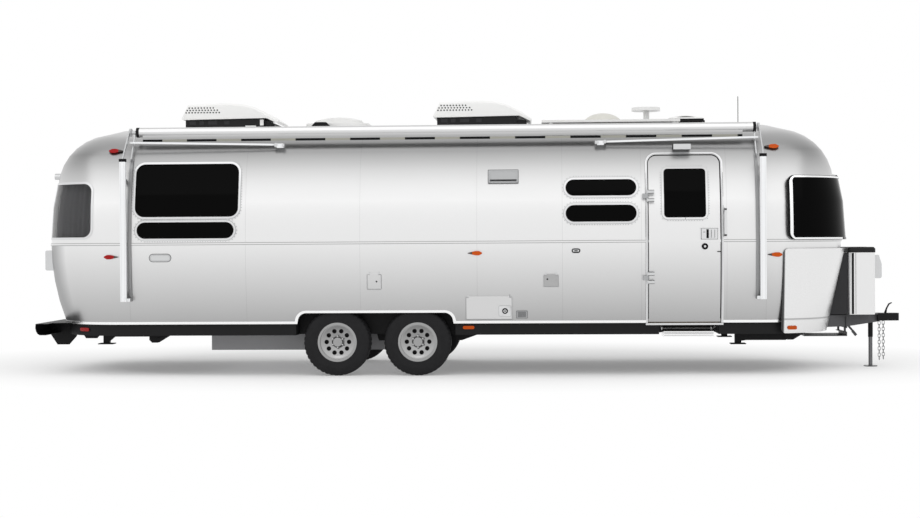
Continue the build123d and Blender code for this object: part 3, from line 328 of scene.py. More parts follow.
# upright joints between the side sheets, on both sides of the body
SHEET_SEAMS = (REAR_SEAM, -2.400, -1.180, 0.060, 0.960, 1.790, 2.680, FRONT_SEAM)
SEAM_HALF = 0.0016


def sheet_metal(name, stops, low=SILL_Z, high=SKIN_TOP, roughness=0.30, shell=False, grain=0.08,
                across=None):
    """Satin sheet aluminium: fine upright grain, soft waves, and a tone that changes with height, which is
    painted reflection on the skin and painted shade on the belt, guards and roller. Shell adds joints
    between sheets, and painted shade in a dark band where the lower corners turn away; across paints shade
    along x."""
    made = material(name, (0.80, 0.805, 0.81), 1.0, roughness)
    b = Build(made)
    x, y, z = b.axes(b.position())
    height = b.maths("DIVIDE", b.maths("SUBTRACT", z, low), high - low, clamp=True)
    tone = b.ramp(height, *stops)
    if shell:
        # painted shade: below the belt, a dark band where the surface turns from the rear towards the sides
        facing = b.axes(b.facing())[0]
        corner_painted_shade = b.ramp(facing, (0.0, 0.0), (0.05, CORNER_SHADE), (0.20, 0.0))
        below = b.maths("LESS_THAN", z, BELT_Z)
        tone = b.mix(b.maths("MULTIPLY", corner_painted_shade, below), tone, CORNER_DARK)
    if across:
        share = b.maths("DIVIDE", b.maths("SUBTRACT", x, across[0]), across[1] - across[0], clamp=True)
        tone = b.mix(b.ramp(share, *across[2:]), tone, EDGE_SHADE)
    brushed = b.noise(30.0, stretch=(14.0, 14.0, 0.5))
    cloud = b.noise(1.1, detail=3.0)
    tone = b.mix(b.spread(cloud, 0.0, 0.05), tone, (0.97, 0.975, 0.98))
    tone = b.mix(b.spread(brushed, 0.0, grain), tone, (0.5, 0.505, 0.51))
    if shell:
        line = None
        for seam in SHEET_SEAMS:
            near = b.maths("LESS_THAN", b.maths("ABSOLUTE", b.maths("SUBTRACT", x, seam)), SEAM_HALF)
            line = near if line is None else b.maths("MAXIMUM", line, near)
        tone = b.mix(b.maths("MULTIPLY", line, SEAM_SHADE), tone, SEAM_DARK)
    b.colour(tone)
    b.roughness(b.spread(b.noise(60.0, stretch=(9.0, 9.0, 0.6)), roughness * 0.85, roughness * 1.2))
    b.bump(b.noise(2.3, stretch=(1.0, 1.0, 1.4), detail=2.0), 0.0025, 0.4)
    return made


def polished(name, colour, roughness, painted_shading=None, wave=0.0003):
    """Bright metal; the optional tones are painted shade and highlight, from faces that look down to faces
    that look up.
    """
    made = material(name, colour, 1.0, roughness)
    b = Build(made)
    if painted_shading:
        stops = [(i / (len(painted_shading) - 1), tone) for i, tone in enumerate(painted_shading)]
        b.colour(b.ramp(b.axes(b.facing())[2], *stops))
    b.roughness(b.spread(b.noise(3.0, detail=3.0), roughness * 0.9, roughness * 1.15))
    b.bump(b.noise(3.0), wave, 0.3)
    return made


def painted(name, colour, roughness, wear=0.15, grit=0.0003, **sockets):
    """Paint or plastic with slight soiling and an orange-peel surface."""
    made = material(name, colour, 0.0, roughness, **sockets)
    b = Build(made)
    dusty = tuple(min(1.0, c * 0.8 + min(0.10, 0.004 + c * 0.3)) for c in colour)
    dirt = b.ramp(b.noise(6.0, detail=6.0), (0.45, 0.0), (0.75, 1.0))
    b.colour(b.mix(b.spread(dirt, 0.0, wear), colour, dusty))
    b.roughness(b.spread(b.noise(25.0), roughness * 0.85, min(1.0, roughness * 1.25)))
    b.bump(b.noise(350.0, detail=2.0), grit, 0.5)
    return made


FLUTES_PER_METRE = 900.0 / (2 * math.pi)


def lens(name, colour):
    """Moulded lamp lens with fine upright flutes; its colour carries painted shade, darker in stripes along
    the flutes and on faces that look down.
    """
    made = material(name, colour, 0.0, 0.18, Specular_IOR_Level=0.12)
    b = Build(made)
    x, y, z = b.axes(b.position())
    flutes = b.maths("SINE", b.maths("MULTIPLY", x, 2 * math.pi * FLUTES_PER_METRE))
    # painted shade: faces that look down, and stripes along the flutes, are darkened
    below = b.maths("SUBTRACT", 0.5, b.axes(b.facing())[2], clamp=True)
    shade = b.maths("ADD", b.spread(flutes, 0.05, 0.30), b.maths("MULTIPLY", below, 1.3), clamp=True)
    b.colour(b.mix(shade, colour, tuple(c * 0.35 for c in colour)))
    b.bump(flutes, 0.0006, 0.6)
    return made


# painted reflection: the skin's colour changes with height to stand for the floor, wall and ceiling it
# mirrors
SKIN = sheet_metal("skin aluminium", SHELL_PAINTED_REFLECTION, shell=True)
BELT = sheet_metal("belt moulding", BELT_PAINTED_SHADE, BELT_Z - 0.016, BELT_Z + 0.016)
HEATER = sheet_metal("heater door sheet", even(0.65))
HATCH_GREY = sheet_metal("hatch sheet", even(0.40))
# painted shade: a dark strip on the stone guards along their rear edge, where they stand off the wall
GUARD_EDGE_SHADE = (3.20, 4.02, (0.085, 1.0), (0.10, 0.0))
GUARD_SHEET = sheet_metal("guard sheet", GUARD_PAINTED_SHADE, 0.44, 1.33, 0.26, across=GUARD_EDGE_SHADE)
COVER_SHEET = sheet_metal("gas cover sheet", even(PALE_WALL))
TRIM = polished("bright trim", (0.93, 0.932, 0.935), 0.25)
FRAME_RING = polished("window frame", (0.70, 0.703, 0.708), 0.34)
# painted shade and highlight: the rims darken on faces that look down and brighten on faces that look up
CHROME = polished("rim metal", (0.80, 0.805, 0.81), 0.16, (0.10, 0.16, 0.34, 0.60, 0.95))
ZINC = polished("zinc plate", (0.30, 0.305, 0.31), 0.34)
STEEL = polished("jack steel", (0.16, 0.16, 0.165), 0.35)
# painted shade: the frame rivets are a darker grey than their aluminium, standing for the shade round each
# head
RIVET_SHADE_GREY = polished("frame rivet", (0.42, 0.425, 0.43), 0.4)
GREY_METAL = polished("grey casting", (0.62, 0.625, 0.63), 0.40)
DULL_METAL = polished("dull vent plate", (0.40, 0.405, 0.41), 0.45)
RAIL_METAL = polished("awning wall rail", (0.34, 0.342, 0.346), 0.42)
GLASS = material("side glass", (0.001, 0.001, 0.001), 0.0, 0.06, Specular_IOR_Level=0.04)
GUARD_GLASS = material("guard glass", (0.0015, 0.0015, 0.0015), 0.0, 0.14, Specular_IOR_Level=0.03)
END_GLASS = material("end glass", (0.02, 0.02, 0.021), 0.0, 0.06, Alpha=0.34, Specular_IOR_Level=0.2)
CURTAIN = painted("curtain cloth", (0.30, 0.30, 0.31), 0.85, 0.05, 0.0006)
RUBBER = painted("seal rubber", (0.006, 0.006, 0.0065), 0.6, 0.05, Specular_IOR_Level=0.10)
TYRE = painted("tyre rubber", (0.010, 0.010, 0.011), 0.62, 0.25, 0.0005, Specular_IOR_Level=0.20)
BLACK = painted("black paint", (0.007, 0.007, 0.0075), 0.42, 0.12, Specular_IOR_Level=0.15)
SKIRT = painted("belly skirt", (0.009, 0.009, 0.0095), 0.45, 0.15, Specular_IOR_Level=0.15)
UNDER_GREY = painted("underbody grey", (0.30, 0.30, 0.31), 0.55, 0.20)
HITCH_GREY = painted("hitch frame paint", (0.075, 0.075, 0.079), 0.42, 0.20, Specular_IOR_Level=0.25)
DEEP_GREY = painted("shadowed panel", (0.030, 0.030, 0.032), 0.5, 0.20, Specular_IOR_Level=0.2)
WHITE = painted("white plastic", (0.84, 0.84, 0.83), 0.35, 0.05)
CREAM = painted("dome plastic", (0.66, 0.65, 0.60), 0.32, 0.08)
PALE = painted("pale dome plastic", (0.80, 0.80, 0.79), 0.32, 0.05)
ARM_WHITE = painted("arm aluminium", (0.80, 0.81, 0.82), 0.28, 0.04)
ROLLER = sheet_metal("roller cover", ROLLER_PAINTED_SHADE, 2.560, 2.680, 0.34)
FABRIC = painted("awning cloth", (0.30, 0.295, 0.26), 0.9, 0.1)
PLASTIC = painted("black plastic", (0.008, 0.008, 0.0085), 0.40, 0.10, Specular_IOR_Level=0.25)
CELLS = painted("solar cells", (0.012, 0.016, 0.035), 0.15, 0.05)
RED = lens("red lens", (0.36, 0.010, 0.010))
AMBER = lens("amber lens", (0.58, 0.085, 0.006))
TAIL = painted("lamp tail", (0.05, 0.035, 0.03), 0.3, 0.05)
BOARD = painted("floor board", (0.42, 0.34, 0.26), 0.6, 0.2)
LINING = painted("cabin lining", (0.55, 0.55, 0.54), 0.7, 0.1)


# ---- mesh helpers
def new_object(name, mesh, surface, body):
    made = bpy.data.objects.new(name, mesh)
    bpy.context.scene.collection.objects.link(made)
    if surface is not None:
        for each in surface if isinstance(surface, (list, tuple)) else (surface,):
            mesh.materials.append(each)
    if body is not None:
        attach(made, body)
    return made


def mesh_from(name, points, faces, smooth=True):
    mesh = bpy.data.meshes.new(name)
    mesh.from_pydata([tuple(p) for p in points], [], faces)
    mesh.polygons.foreach_set("use_smooth", [smooth] * len(mesh.polygons))
    mesh.update()
    return mesh


def face_outwards(mesh):
    bm = bmesh.new()
    bm.from_mesh(mesh)
    bmesh.ops.recalc_face_normals(bm, faces=bm.faces[:])
    bm.to_mesh(mesh)
    bm.free()


def ring(at, normal, radius, sides):
    """Points of a circle round a unit normal."""
    across = normal.orthogonal().normalized()
    other = normal.cross(across)
    turns = [2 * math.pi * i / sides for i in range(sides)]
    return [at + (across * math.cos(a) + other * math.sin(a)) * radius for a in turns]


def smooth_copy(node, surface, cell=0.10, ease=30.0, pick=None, lined=False, ending="_finish"):
    """Stands for a body-shaped CAD node: the same solid with a finer mesh and the body's true normals.
    pick(centre, normal) chooses a face's surface; lined gives the faces inside the last one."""
    name = node + ending
    bm = bmesh.new()
    bm.from_mesh(nodes[node].data)
    bmesh.ops.remove_doubles(bm, verts=bm.verts, dist=1e-5)
    low = [min(v.co[i] for v in bm.verts) for i in range(3)]
    high = [max(v.co[i] for v in bm.verts) for i in range(3)]
    for axis, direction in ((0, (1, 0, 0)), (2, (0, 0, 1)), (1, (0, 1, 0))):
        count = int((high[axis] - low[axis]) / cell)
        for i in range(1, count + 1):
            at = low[axis] + i * (high[axis] - low[axis]) / (count + 1)
            where = [0, 0, 0]
            where[axis] = at
            bmesh.ops.bisect_plane(bm, geom=bm.verts[:] + bm.edges[:] + bm.faces[:], dist=1e-5,
                                   plane_co=where, plane_no=direction)
    bmesh.ops.triangulate(bm, faces=bm.faces[:])
    bm.normal_update()
    mesh = bpy.data.meshes.new(name)
    bm.to_mesh(mesh)
    bm.free()
    mesh.polygons.foreach_set("use_smooth", [True] * len(mesh.polygons))
    plans = {}
    body_normals = []
    for v in mesh.vertices:
        key = round(v.co.z, 4)
        if key not in plans:
            plans[key] = Plan(v.co.z)
        body_normals.append(plans[key].normal(v.co.x, v.co.y))
    limit = math.cos(math.radians(ease))
    loops = []
    surfaces = surface if isinstance(surface, (list, tuple)) else (surface,)
    for face in mesh.polygons:
        flat = face.normal.copy()
        if pick:
            face.material_index = pick(face.center, flat)
        if lined and flat.dot(body_normals[face.vertices[0]]) < -0.5:
            face.material_index = len(surfaces) - 1
        for vertex in face.vertices:
            true = body_normals[vertex]
            agree = flat.dot(true)
            if agree > limit:
                loops.append(true)
            elif agree < -limit:
                loops.append(-true)
            else:
                loops.append(flat)
    mesh.normals_split_custom_set(loops)
    made = new_object(name, mesh, surface, body_of(node))
    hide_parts(node)
    return made


BODY_OF = {n: b for b, members in frame["record"]["behaviour"]["bodies"].items() for n in members}


def body_of(node):
    return BODY_OF[node]


def dress(node, surface, bevel=0.0015, angle=32.0, pick=None):
    """Finishes a CAD node in place: joined corners, small worn edges, and surfaces chosen by pick."""
    made = nodes[node]
    made.data.materials.clear()
    for each in surface if isinstance(surface, (list, tuple)) else (surface,):
        made.data.materials.append(each)
    for face in made.data.polygons:
        face.material_index = pick(face.center, face.normal) if pick else 0
    made.data.polygons.foreach_set("use_smooth", [True] * len(made.data.polygons))
    if "custom_normal" in made.data.attributes:
        made.data.attributes.remove(made.data.attributes["custom_normal"])
    weld = made.modifiers.new("join", "WELD")
    weld.merge_threshold = 1e-5
    if bevel:
        edge = made.modifiers.new("worn edges", "BEVEL")
        edge.width = bevel
        edge.segments = 2
        edge.limit_method = "ANGLE"
        edge.angle_limit = math.radians(angle)
        edge.use_clamp_overlap = True
        shade = made.modifiers.new("shading", "WEIGHTED_NORMAL")
        shade.keep_sharp = False
    else:
        split = made.modifiers.new("sharp edges", "EDGE_SPLIT")
        split.split_angle = math.radians(angle)


class Pile:
    """Gathers many small shapes of one surface on one body into one mesh."""
    made = []

    def __init__(self, name, surface, body="trailer", slot=None):
        self.name, self.surface, self.body, self.slot = name, surface, body, slot
        self.points, self.faces, self.soft = [], [], []
        Pile.made.append(self)

    def add(self, points, faces, soft=False):
        start = len(self.points)
        self.points += [tuple(p) for p in points]
        self.faces += [tuple(start + i for i in face) for face in faces]
        self.soft += [soft] * len(faces)

    def block(self, x0, x1, y0, y1, z0, z1):
        corners = [(x, y, z) for x in (x0, x1) for y in (y0, y1) for z in (z0, z1)]
        self.add(corners, [(0, 1, 3, 2), (4, 6, 7, 5), (0, 4, 5, 1),
                           (2, 3, 7, 6), (0, 2, 6, 4), (1, 5, 7, 3)])

    def beside(self, side, x0, x1, y0, y1, z0, z1):
        """A block on one side of the body; y0 and y1 are distances from its middle."""
        low, high = sorted((side * y0, side * y1))
        self.block(x0, x1, low, high, z0, z1)

    def tube(self, start, end, radius, sides=12, end_radius=None, capped=True):
        start, end = Vector(start), Vector(end)
        along = (end - start).normalized()
        last = radius if end_radius is None else end_radius
        points = ring(start, along, radius, sides) + ring(end, along, last, sides)
        self.add(points, [(i, (i + 1) % sides, sides + (i + 1) % sides, sides + i)
                          for i in range(sides)], True)
        if capped:
            self.add(points[:sides], [tuple(range(sides))[::-1]])
            self.add(points[sides:], [tuple(range(sides))])

    def dome(self, at, normal, radius, height, sides=6):
        normal = Vector(normal).normalized()
        rim = ring(at, normal, radius, sides)
        self.add(rim + [at + normal * height], [(i, (i + 1) % sides, sides) for i in range(sides)], True)

    def disc(self, at, normal, radius, thick, sides=20, inner=0.0):
        """A round plate, or a ring where inner is given, lying on `at`."""
        at, normal = Vector(at), Vector(normal).normalized()
        if not inner:
            self.tube(at, at + normal * thick, radius, sides)
            return
        corners = ((radius, 0), (radius, thick), (inner, thick), (inner, 0))
        self.rows([ring(at + normal * h, normal, r, sides) for r, h in corners], True)

    def rows(self, rows, closed=False, soft=False):
        """Skin over rows of points with equal counts."""
        count = len(rows[0])
        faces = []
        for r in range(len(rows) - 1):
            for i in range(count if closed else count - 1):
                j = (i + 1) % count
                faces.append((r * count + i, r * count + j, (r + 1) * count + j, (r + 1) * count + i))
        self.add([p for row in rows for p in row], faces, soft)

    def finish(self):
        if not self.points:
            return
        mesh = mesh_from(self.name, self.points, self.faces, False)
        mesh.polygons.foreach_set("use_smooth", self.soft)
        face_outwards(mesh)
        new_object(self.name, mesh, self.surface, self.body)


def rounded_outline(x0, x1, z0, z1, radius, step=0.02):
    """Points of a rounded rectangle in (x, z), evenly spaced, each with its outward direction."""
    points = []
    for cx, cz, turn in ((x1 - radius, z0 + radius, -90), (x1 - radius, z1 - radius, 0),
                         (x0 + radius, z1 - radius, 90), (x0 + radius, z0 + radius, 180)):
        count = max(2, round(radius * math.pi / 2 / step))
        for i in range(count + 1):
            a = math.radians(turn + 90 * i / count)
            points.append((cx + radius * math.cos(a), cz + radius * math.sin(a), math.cos(a), math.sin(a)))
    full = []
    for (x, z, nx, nz), (x2, z2, _, _) in zip(points, points[1:] + points[:1]):
        full.append((x, z, nx, nz))
        gap = math.hypot(x2 - x, z2 - z)
        for i in range(1, int(gap / step)):
            share = i / int(gap / step)
            full.append((x + (x2 - x) * share, z + (z2 - z) * share, nx, nz))
    return full


def outline_band(pile, opening, inner, outer, side, proud, thick=0.002, foot=None):
    """A flat band round a rounded opening of the wall, from inner to outer off its edge; open below foot."""
    rows = [[], [], [], []]
    corners = ((inner, proud - thick), (inner, proud), (outer, proud), (outer, proud - thick))
    for x, z, nx, nz in rounded_outline(*opening):
        if foot and z < foot:
            continue
        for row, (by, lift) in zip(rows, corners):
            row.append(wall_point(x + nx * by, z + nz * by, side, lift)[0])
    pile.rows(rows, foot is None)


RIVET_RADIUS = 0.0048
RIVET_HEIGHT = 0.0022


def rivet_ring(pile, opening, by, side, pitch, proud=0.0):
    for x, z, nx, nz in rounded_outline(*opening, step=pitch):
        at, normal = wall_point(x + nx * by, z + nz * by, side, proud)
        pile.dome(at, normal, RIVET_RADIUS, RIVET_HEIGHT)


def rivet_row(pile, start, end, side, pitch, proud=0.0, skip=()):
    """Rivets on the wall from (x, z) to (x, z); none inside the boxes of skip."""
    count = max(1, round(math.dist(start, end) / pitch))
    for i in range(count + 1):
        x = start[0] + (end[0] - start[0]) * i / count
        z = start[1] + (end[1] - start[1]) * i / count
        if any(x0 < x < x1 and z0 < z < z1 for x0, x1, z0, z1 in skip):
            continue
        at, normal = wall_point(x, z, side, proud)
        pile.dome(at, normal, RIVET_RADIUS, RIVET_HEIGHT)


# ---- body skin, trim and glass
# openings in the side walls: x0, x1, z0, z1, corner radius
REAR_WINDOW = (-3.586, -2.480, 1.706, 2.270, 0.095)
VISTA_WINDOW = (-3.565, -2.527, 1.475, 1.646, 0.085)
STACK_LOW = (0.998, 1.738, 1.627, 1.799, 0.086)
STACK_HIGH = (0.998, 1.738, 1.901, 2.069, 0.084)
SIDE_WINDOWS = (REAR_WINDOW, VISTA_WINDOW, STACK_LOW, STACK_HIGH)
DOOR_WINDOW = (2.028, 2.462, 1.665, 2.176, 0.036)
DOOR = (1.862, 2.615, 0.566, 2.325, 0.092)
ARCH = (-1.892, -0.163, 0.556, 0.698)
HATCH_REAR = (-1.110, -0.950, 0.918, 1.086, 0.016)
HATCH_FRONT = (0.756, 0.922, 0.938, 1.070, 0.012)
HEATER_DOOR = (-0.066, 0.432, 0.592, 0.838, 0.014)
RANGE_VENT = (0.178, 0.502, 2.035, 2.182, 0.008)
SMALL_VENT = (0.470, 0.590, 0.608, 0.688, 0.006)
BADGE = (-3.435, -3.198, 1.225, 1.311, 0.040)
OUTLET = (1.052, 1.152, 1.292, 1.348, 0.027)
KERB, ROAD = -1, 1

for node in ("side_walls_lower", "side_walls_upper", "roof_panel", "front_cap_upper", "front_cap_lower",
             "rear_cap_upper", "rear_cap_lower", "door_panel"):
    smooth_copy(node, (SKIN, LINING), lined=True, ending="_skin")


# each of these picks the second surface for a face of its node, from the face's centre
def is_belt(centre, normal):
    return int(abs(centre[2] - BELT_Z) < 0.02)


def is_rear_pane(centre, normal):
    return int(centre[0] < -3.9)


def is_lamp_tail(centre, normal):
    x, y, z = centre
    return int(z > 1.2 and (x > -3.812 or x < -4.2))


def is_amber_tail(centre, normal):
    x, y, z = centre
    return int(z > 1.2 and (x < 0.010 or 1.0 < x < 3.145))


smooth_copy("mouldings", (TRIM, BELT), pick=is_belt)
smooth_copy("opening_frames", FRAME_RING)
smooth_copy("window_glass", (GLASS, END_GLASS), pick=is_rear_pane)
smooth_copy("door_glass", GLASS)
smooth_copy("stone_guards", GUARD_SHEET)
smooth_copy("guard_wings", GUARD_GLASS)
smooth_copy("window_guard", GUARD_GLASS)
smooth_copy("hatch_rear", SKIN)
smooth_copy("hatch_front", HATCH_GREY)
smooth_copy("heater_door", HEATER)
smooth_copy("lamps_red", (RED, TAIL), cell=0.012, pick=is_lamp_tail)
smooth_copy("lamps_amber", (AMBER, TAIL), cell=0.012, pick=is_amber_tail)


def fitting_surface(centre, normal):
    """0 grey, 1 dull vent plate, 2 red lens, 3 bright metal, 4 rubber."""
    x, y, z = centre
    if x < -4.6:
        return 2 if z < 1.4 and normal[0] < -0.7 else 0
    if 0.1 < x < 0.6:
        return 1
    if 2.12 < x < 2.32:
        return 4 if x < 2.145 else 0
    if 1.7 < x < 1.95:
        return 1
    return 3 if x > 2.6 else 0


def hardware_surface(centre, normal):
    """0 latch plate, 1 black lock, 2 hinge leaves."""
    x, y, z = centre
    if x < 2.0:
        return 2
    return 1 if z < 1.4 and x > 2.4 else 0


def awning_surface(centre, normal):
    """0 white arm, 1 grey strut, 2 black cap, 3 dark wall rail."""
    x, y, z = centre
    if 2.29 <= z <= 2.323 and y < -1.29:
        return 2
    if y < -1.3055:
        return 0
    if z > 2.43 and -3.64 < x < 2.99 and z < 2.52:
        return 0
    if z > 2.33 or (z > 2.32 and y < -1.15):
        return 1
    return 3


def dome_surface(centre, normal):
    """0 cream, 1 pale, 2 black."""
    x, y, z = centre
    if x > 0:
        return 0
    return 2 if y < -0.29 else 1


# nodes of one surface each, finished in place
ONE_SURFACE = (
    ("floor_deck", BOARD), ("chassis_tray", SKIRT), ("wheel_wells", BLACK), ("axles", BLACK),
    ("tank_pan", UNDER_GREY), ("rear_bumper", BLACK), ("underbody_brackets", BLACK),
    ("hitch_frame", HITCH_GREY), ("coupler", BLACK), ("jack_leg", STEEL), ("safety_chains", ZINC),
    ("step_arms", ZINC), ("gas_bottle_cover", COVER_SHEET), ("gas_cover_lid", PLASTIC),
    ("awning_roller", ROLLER), ("ac_rear", WHITE), ("ac_front", WHITE), ("ac_bases", PLASTIC),
    ("vent_base", PLASTIC))
for node, surface in ONE_SURFACE:
    dress(node, surface)
dress("jack_post", (GREY_METAL, BLACK), pick=lambda c, n: 1 if c[2] < 0.98 else 0)
dress("step_tread", (TRIM, BLACK), pick=lambda c, n: 1 if c[2] < 0.410 else 0)
dress("door_hardware", (FRAME_RING, RUBBER, GREY_METAL), pick=hardware_surface)
dress("wall_fittings", (GREY_METAL, DULL_METAL, RED, FRAME_RING, RUBBER), pick=fitting_surface)
dress("awning_arms", (ARM_WHITE, GREY_METAL, RUBBER, RAIL_METAL), pick=awning_surface)
dress("roof_domes", (CREAM, PALE, BLACK), pick=dome_surface)
dress("antennas", (PALE, RUBBER), pick=lambda c, n: 1 if c[0] > 2.5 else 0)
dress("vent_lid", (PALE, BLACK), pick=lambda c, n: 0 if n[2] > 0.3 else 1)
dress("solar_panel", (PALE, CELLS), pick=lambda c, n: 1 if n[2] > 0.9 and c[2] > 2.72 else 0)
for node in nodes:
    if node.startswith("stabilizer"):
        dress(node, BLACK)

# ---- wheels
TYRE_RADIUS = 0.358
TYRE_WIDTH = 0.215
RIM_RADIUS = 0.209
WHEEL_Z = 0.358
WHEEL_Y = 1.058
AXLE_X = {"rear": -1.440, "front": -0.580}
TREAD_DEPTH = 0.007
TREAD_SEGMENTS = 168

# half profile of a tyre: radius, share of the width, 1 where a groove runs round, 1 where blocks are cut
TYRE_PROFILE = (
    (RIM_RADIUS, 0.40, 0, 0), (0.217, 0.445, 0, 0), (0.222, 0.452, 0, 0), (0.226, 0.448, 0, 0),
    (0.250, 0.482, 0, 0), (0.286, 0.499, 0, 0), (0.290, 0.494, 0, 0), (0.318, 0.492, 0, 0),
    (0.322, 0.486, 0, 0), (0.338, 0.462, 0, 0), (0.347, 0.430, 0, 1), (0.354, 0.385, 0, 1),
    (0.357, 0.310, 0, 1), (0.357, 0.300, 0, 1), (0.357, 0.290, 1, 0), (0.357, 0.250, 1, 0),
    (0.3575, 0.240, 0, 1), (TYRE_RADIUS, 0.110, 0, 1), (TYRE_RADIUS, 0.100, 1, 0),
    (TYRE_RADIUS, 0.055, 1, 0), (TYRE_RADIUS, 0.045, 0, 0))


def tyre_mesh(name, x, y):
    """Sidewall with rim line and rings, shoulder blocks and four grooves round the tread."""
    half = list(TYRE_PROFILE)
    full = half + [(r, -share, groove, cut) for r, share, groove, cut in reversed(half)]
    rows = []
    for r, share, groove, cut in full:
        row = []
        for i in range(TREAD_SEGMENTS):
            deep = groove or (cut and (i + (1 if share < 0 else 0)) % 4 == 0)
            radius = r - (TREAD_DEPTH if deep else 0.0)
            a = 2 * math.pi * i / TREAD_SEGMENTS
            row.append((x + radius * math.cos(a), y + share * TYRE_WIDTH, WHEEL_Z + radius * math.sin(a)))
        rows.append(row)
    points = [p for row in rows for p in row]
    faces = []
    for r in range(len(rows) - 1):
        for i in range(TREAD_SEGMENTS):
            j = (i + 1) % TREAD_SEGMENTS
            faces.append((r * TREAD_SEGMENTS + i, (r + 1) * TREAD_SEGMENTS + i, (r + 1) * TREAD_SEGMENTS + j,
                          r * TREAD_SEGMENTS + j))
    mesh = mesh_from(name, points, faces)
    face_outwards(mesh)
    return mesh


HOLE_RING = 0.120
HOLE_COUNT = 10
DISC_LIFT = 0.0262
DISC_SLOPE = 0.161
NUT_RING = 0.060
NUT_COUNT = 6
for side_name, side in (("left", 1), ("right", -1)):
    for end, x in AXLE_X.items():
        place = end + "_" + side_name
        body = "wheel_" + place
        tread = tyre_mesh("tyre_" + place, x, side * WHEEL_Y)
        made = new_object("tyre_" + place + "_tread", tread, TYRE, body)
        split = made.modifiers.new("sharp edges", "EDGE_SPLIT")
        split.split_angle = math.radians(40)
        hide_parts("tyre_" + place)
        dress("rim_" + place, CHROME, 0.0, 28.0)
        bright = Pile("rim_nuts_" + place, CHROME, body, "rim")
        dark = Pile("rim_shadow_" + place, BLACK, body)
        for i in range(NUT_COUNT):
            a = math.radians(360 / NUT_COUNT * i + 30)
            along, up = NUT_RING * math.cos(a), NUT_RING * math.sin(a)
            at = Vector((x + along, side * (WHEEL_Y + 0.030), WHEEL_Z + up))
            bright.tube(at, at + Vector((0, side * 0.026, 0)), 0.0105, 6)
            bright.dome(at + Vector((0, side * 0.026, 0)), (0, side, 0), 0.0095, 0.006, 8)
        dark.disc((x, side * (WHEEL_Y - 0.020), WHEEL_Z), (0, side, 0), 0.185, 0.004, 48, 0.075)
        for i in range(HOLE_COUNT):
            a = math.radians(360 / HOLE_COUNT * i)
            along, up = math.cos(a), math.sin(a)
            at = (x + HOLE_RING * along, side * (WHEEL_Y + DISC_LIFT), WHEEL_Z + HOLE_RING * up)
            dark.disc(at, (-DISC_SLOPE * along, side, -DISC_SLOPE * up), 0.0245, 0.0010, 16, 0.0185)
        bright.disc((x, side * (WHEEL_Y + 0.0425), WHEEL_Z), (0, side, 0), 0.186, 0.0012, 48, 0.180)

# ---- rivets, seams and frame lines
RIVETS = Pile("body_rivets", SKIN)
FRAME_RIVETS = Pile("frame_rivets", RIVET_SHADE_GREY)
SEALS = Pile("frame_seals", RUBBER)
DOOR_RIVETS = Pile("door_rivets", RIVET_SHADE_GREY, "door")
DOOR_SEALS = Pile("door_seals", RUBBER, "door")
EDGES = Pile("frame_edges", DULL_METAL)
DOOR_EDGES = Pile("door_window_edge", DULL_METAL, "door")
SKIPS = [(x0 - 0.06, x1 + 0.06, z0 - 0.06, z1 + 0.06) for x0, x1, z0, z1, r in
         SIDE_WINDOWS + (HATCH_REAR, HATCH_FRONT, HEATER_DOOR, RANGE_VENT, SMALL_VENT, BADGE, OUTLET)]
SKIPS.append((ARCH[0] - 0.04, ARCH[1] + 0.04, 0.5, ARCH[3] + 0.03))
DOOR_SKIP = (DOOR[0] - 0.055, DOOR[1] + 0.055, 0.5, DOOR[3] + 0.055)
FRAME_WIDTH = 0.024


def window_lines(window, side, rivets, seals, edges):
    """Rivets, the dark line at the glass and the outer edge of one window frame, where a dark band paints
    shade.
    """
    rivet_ring(rivets, window, 0.036, side, 0.027)
    outline_band(seals, window, -0.003, 0.0015, side, 0.0078)
    # painted shade: a dark band along the frame's outer edge
    outline_band(edges, window, FRAME_WIDTH, FRAME_WIDTH + 0.0035, side, 0.0040, 0.004)


for side in (KERB, ROAD):
    skips = SKIPS + ([DOOR_SKIP] if side == KERB else [])
    for seam in SHEET_SEAMS:
        rivet_row(RIVETS, (seam - 0.011, 0.600), (seam - 0.011, BELT_Z - 0.03), side, 0.035, skip=skips)
        rivet_row(RIVETS, (seam - 0.011, BELT_Z + 0.03), (seam - 0.011, 2.16), side, 0.035, skip=skips)
    for z in (BELT_Z - 0.024, BELT_Z + 0.024, 0.592):
        rivet_row(RIVETS, (REAR_SEAM, z), (FRONT_SEAM, z), side, 0.05, skip=skips)
    for window in SIDE_WINDOWS:
        window_lines(window, side, FRAME_RIVETS, SEALS, EDGES)
    for start, end, z in ((REAR_SEAM, -4.30, 2.30), (FRONT_SEAM, 3.70, 2.32)):
        rivet_row(FRAME_RIVETS, (start, z), (end, z), side, 0.035)
window_lines(DOOR_WINDOW, KERB, DOOR_RIVETS, DOOR_SEALS, DOOR_EDGES)
DOOR_SEALS.block(2.2465, 2.2495, -1.240, -1.232, 1.642, 1.664)
door_outline = (DOOR[0], DOOR[1], DOOR[2] - 0.3, DOOR[3], DOOR[4])
# painted shade: dark lines round the door opening, two on the wall at the edges of its frame and one along
# the door's own edge
outline_band(SEALS, door_outline, 0.0265, 0.0295, KERB, 0.0045, 0.0045, 0.57)
outline_band(DOOR_SEALS, door_outline, -0.0035, 0.0, KERB, 0.0022, 0.002, 0.58)
outline_band(EDGES, door_outline, 0.0140, 0.0165, KERB, 0.0078, 0.001, 0.57)

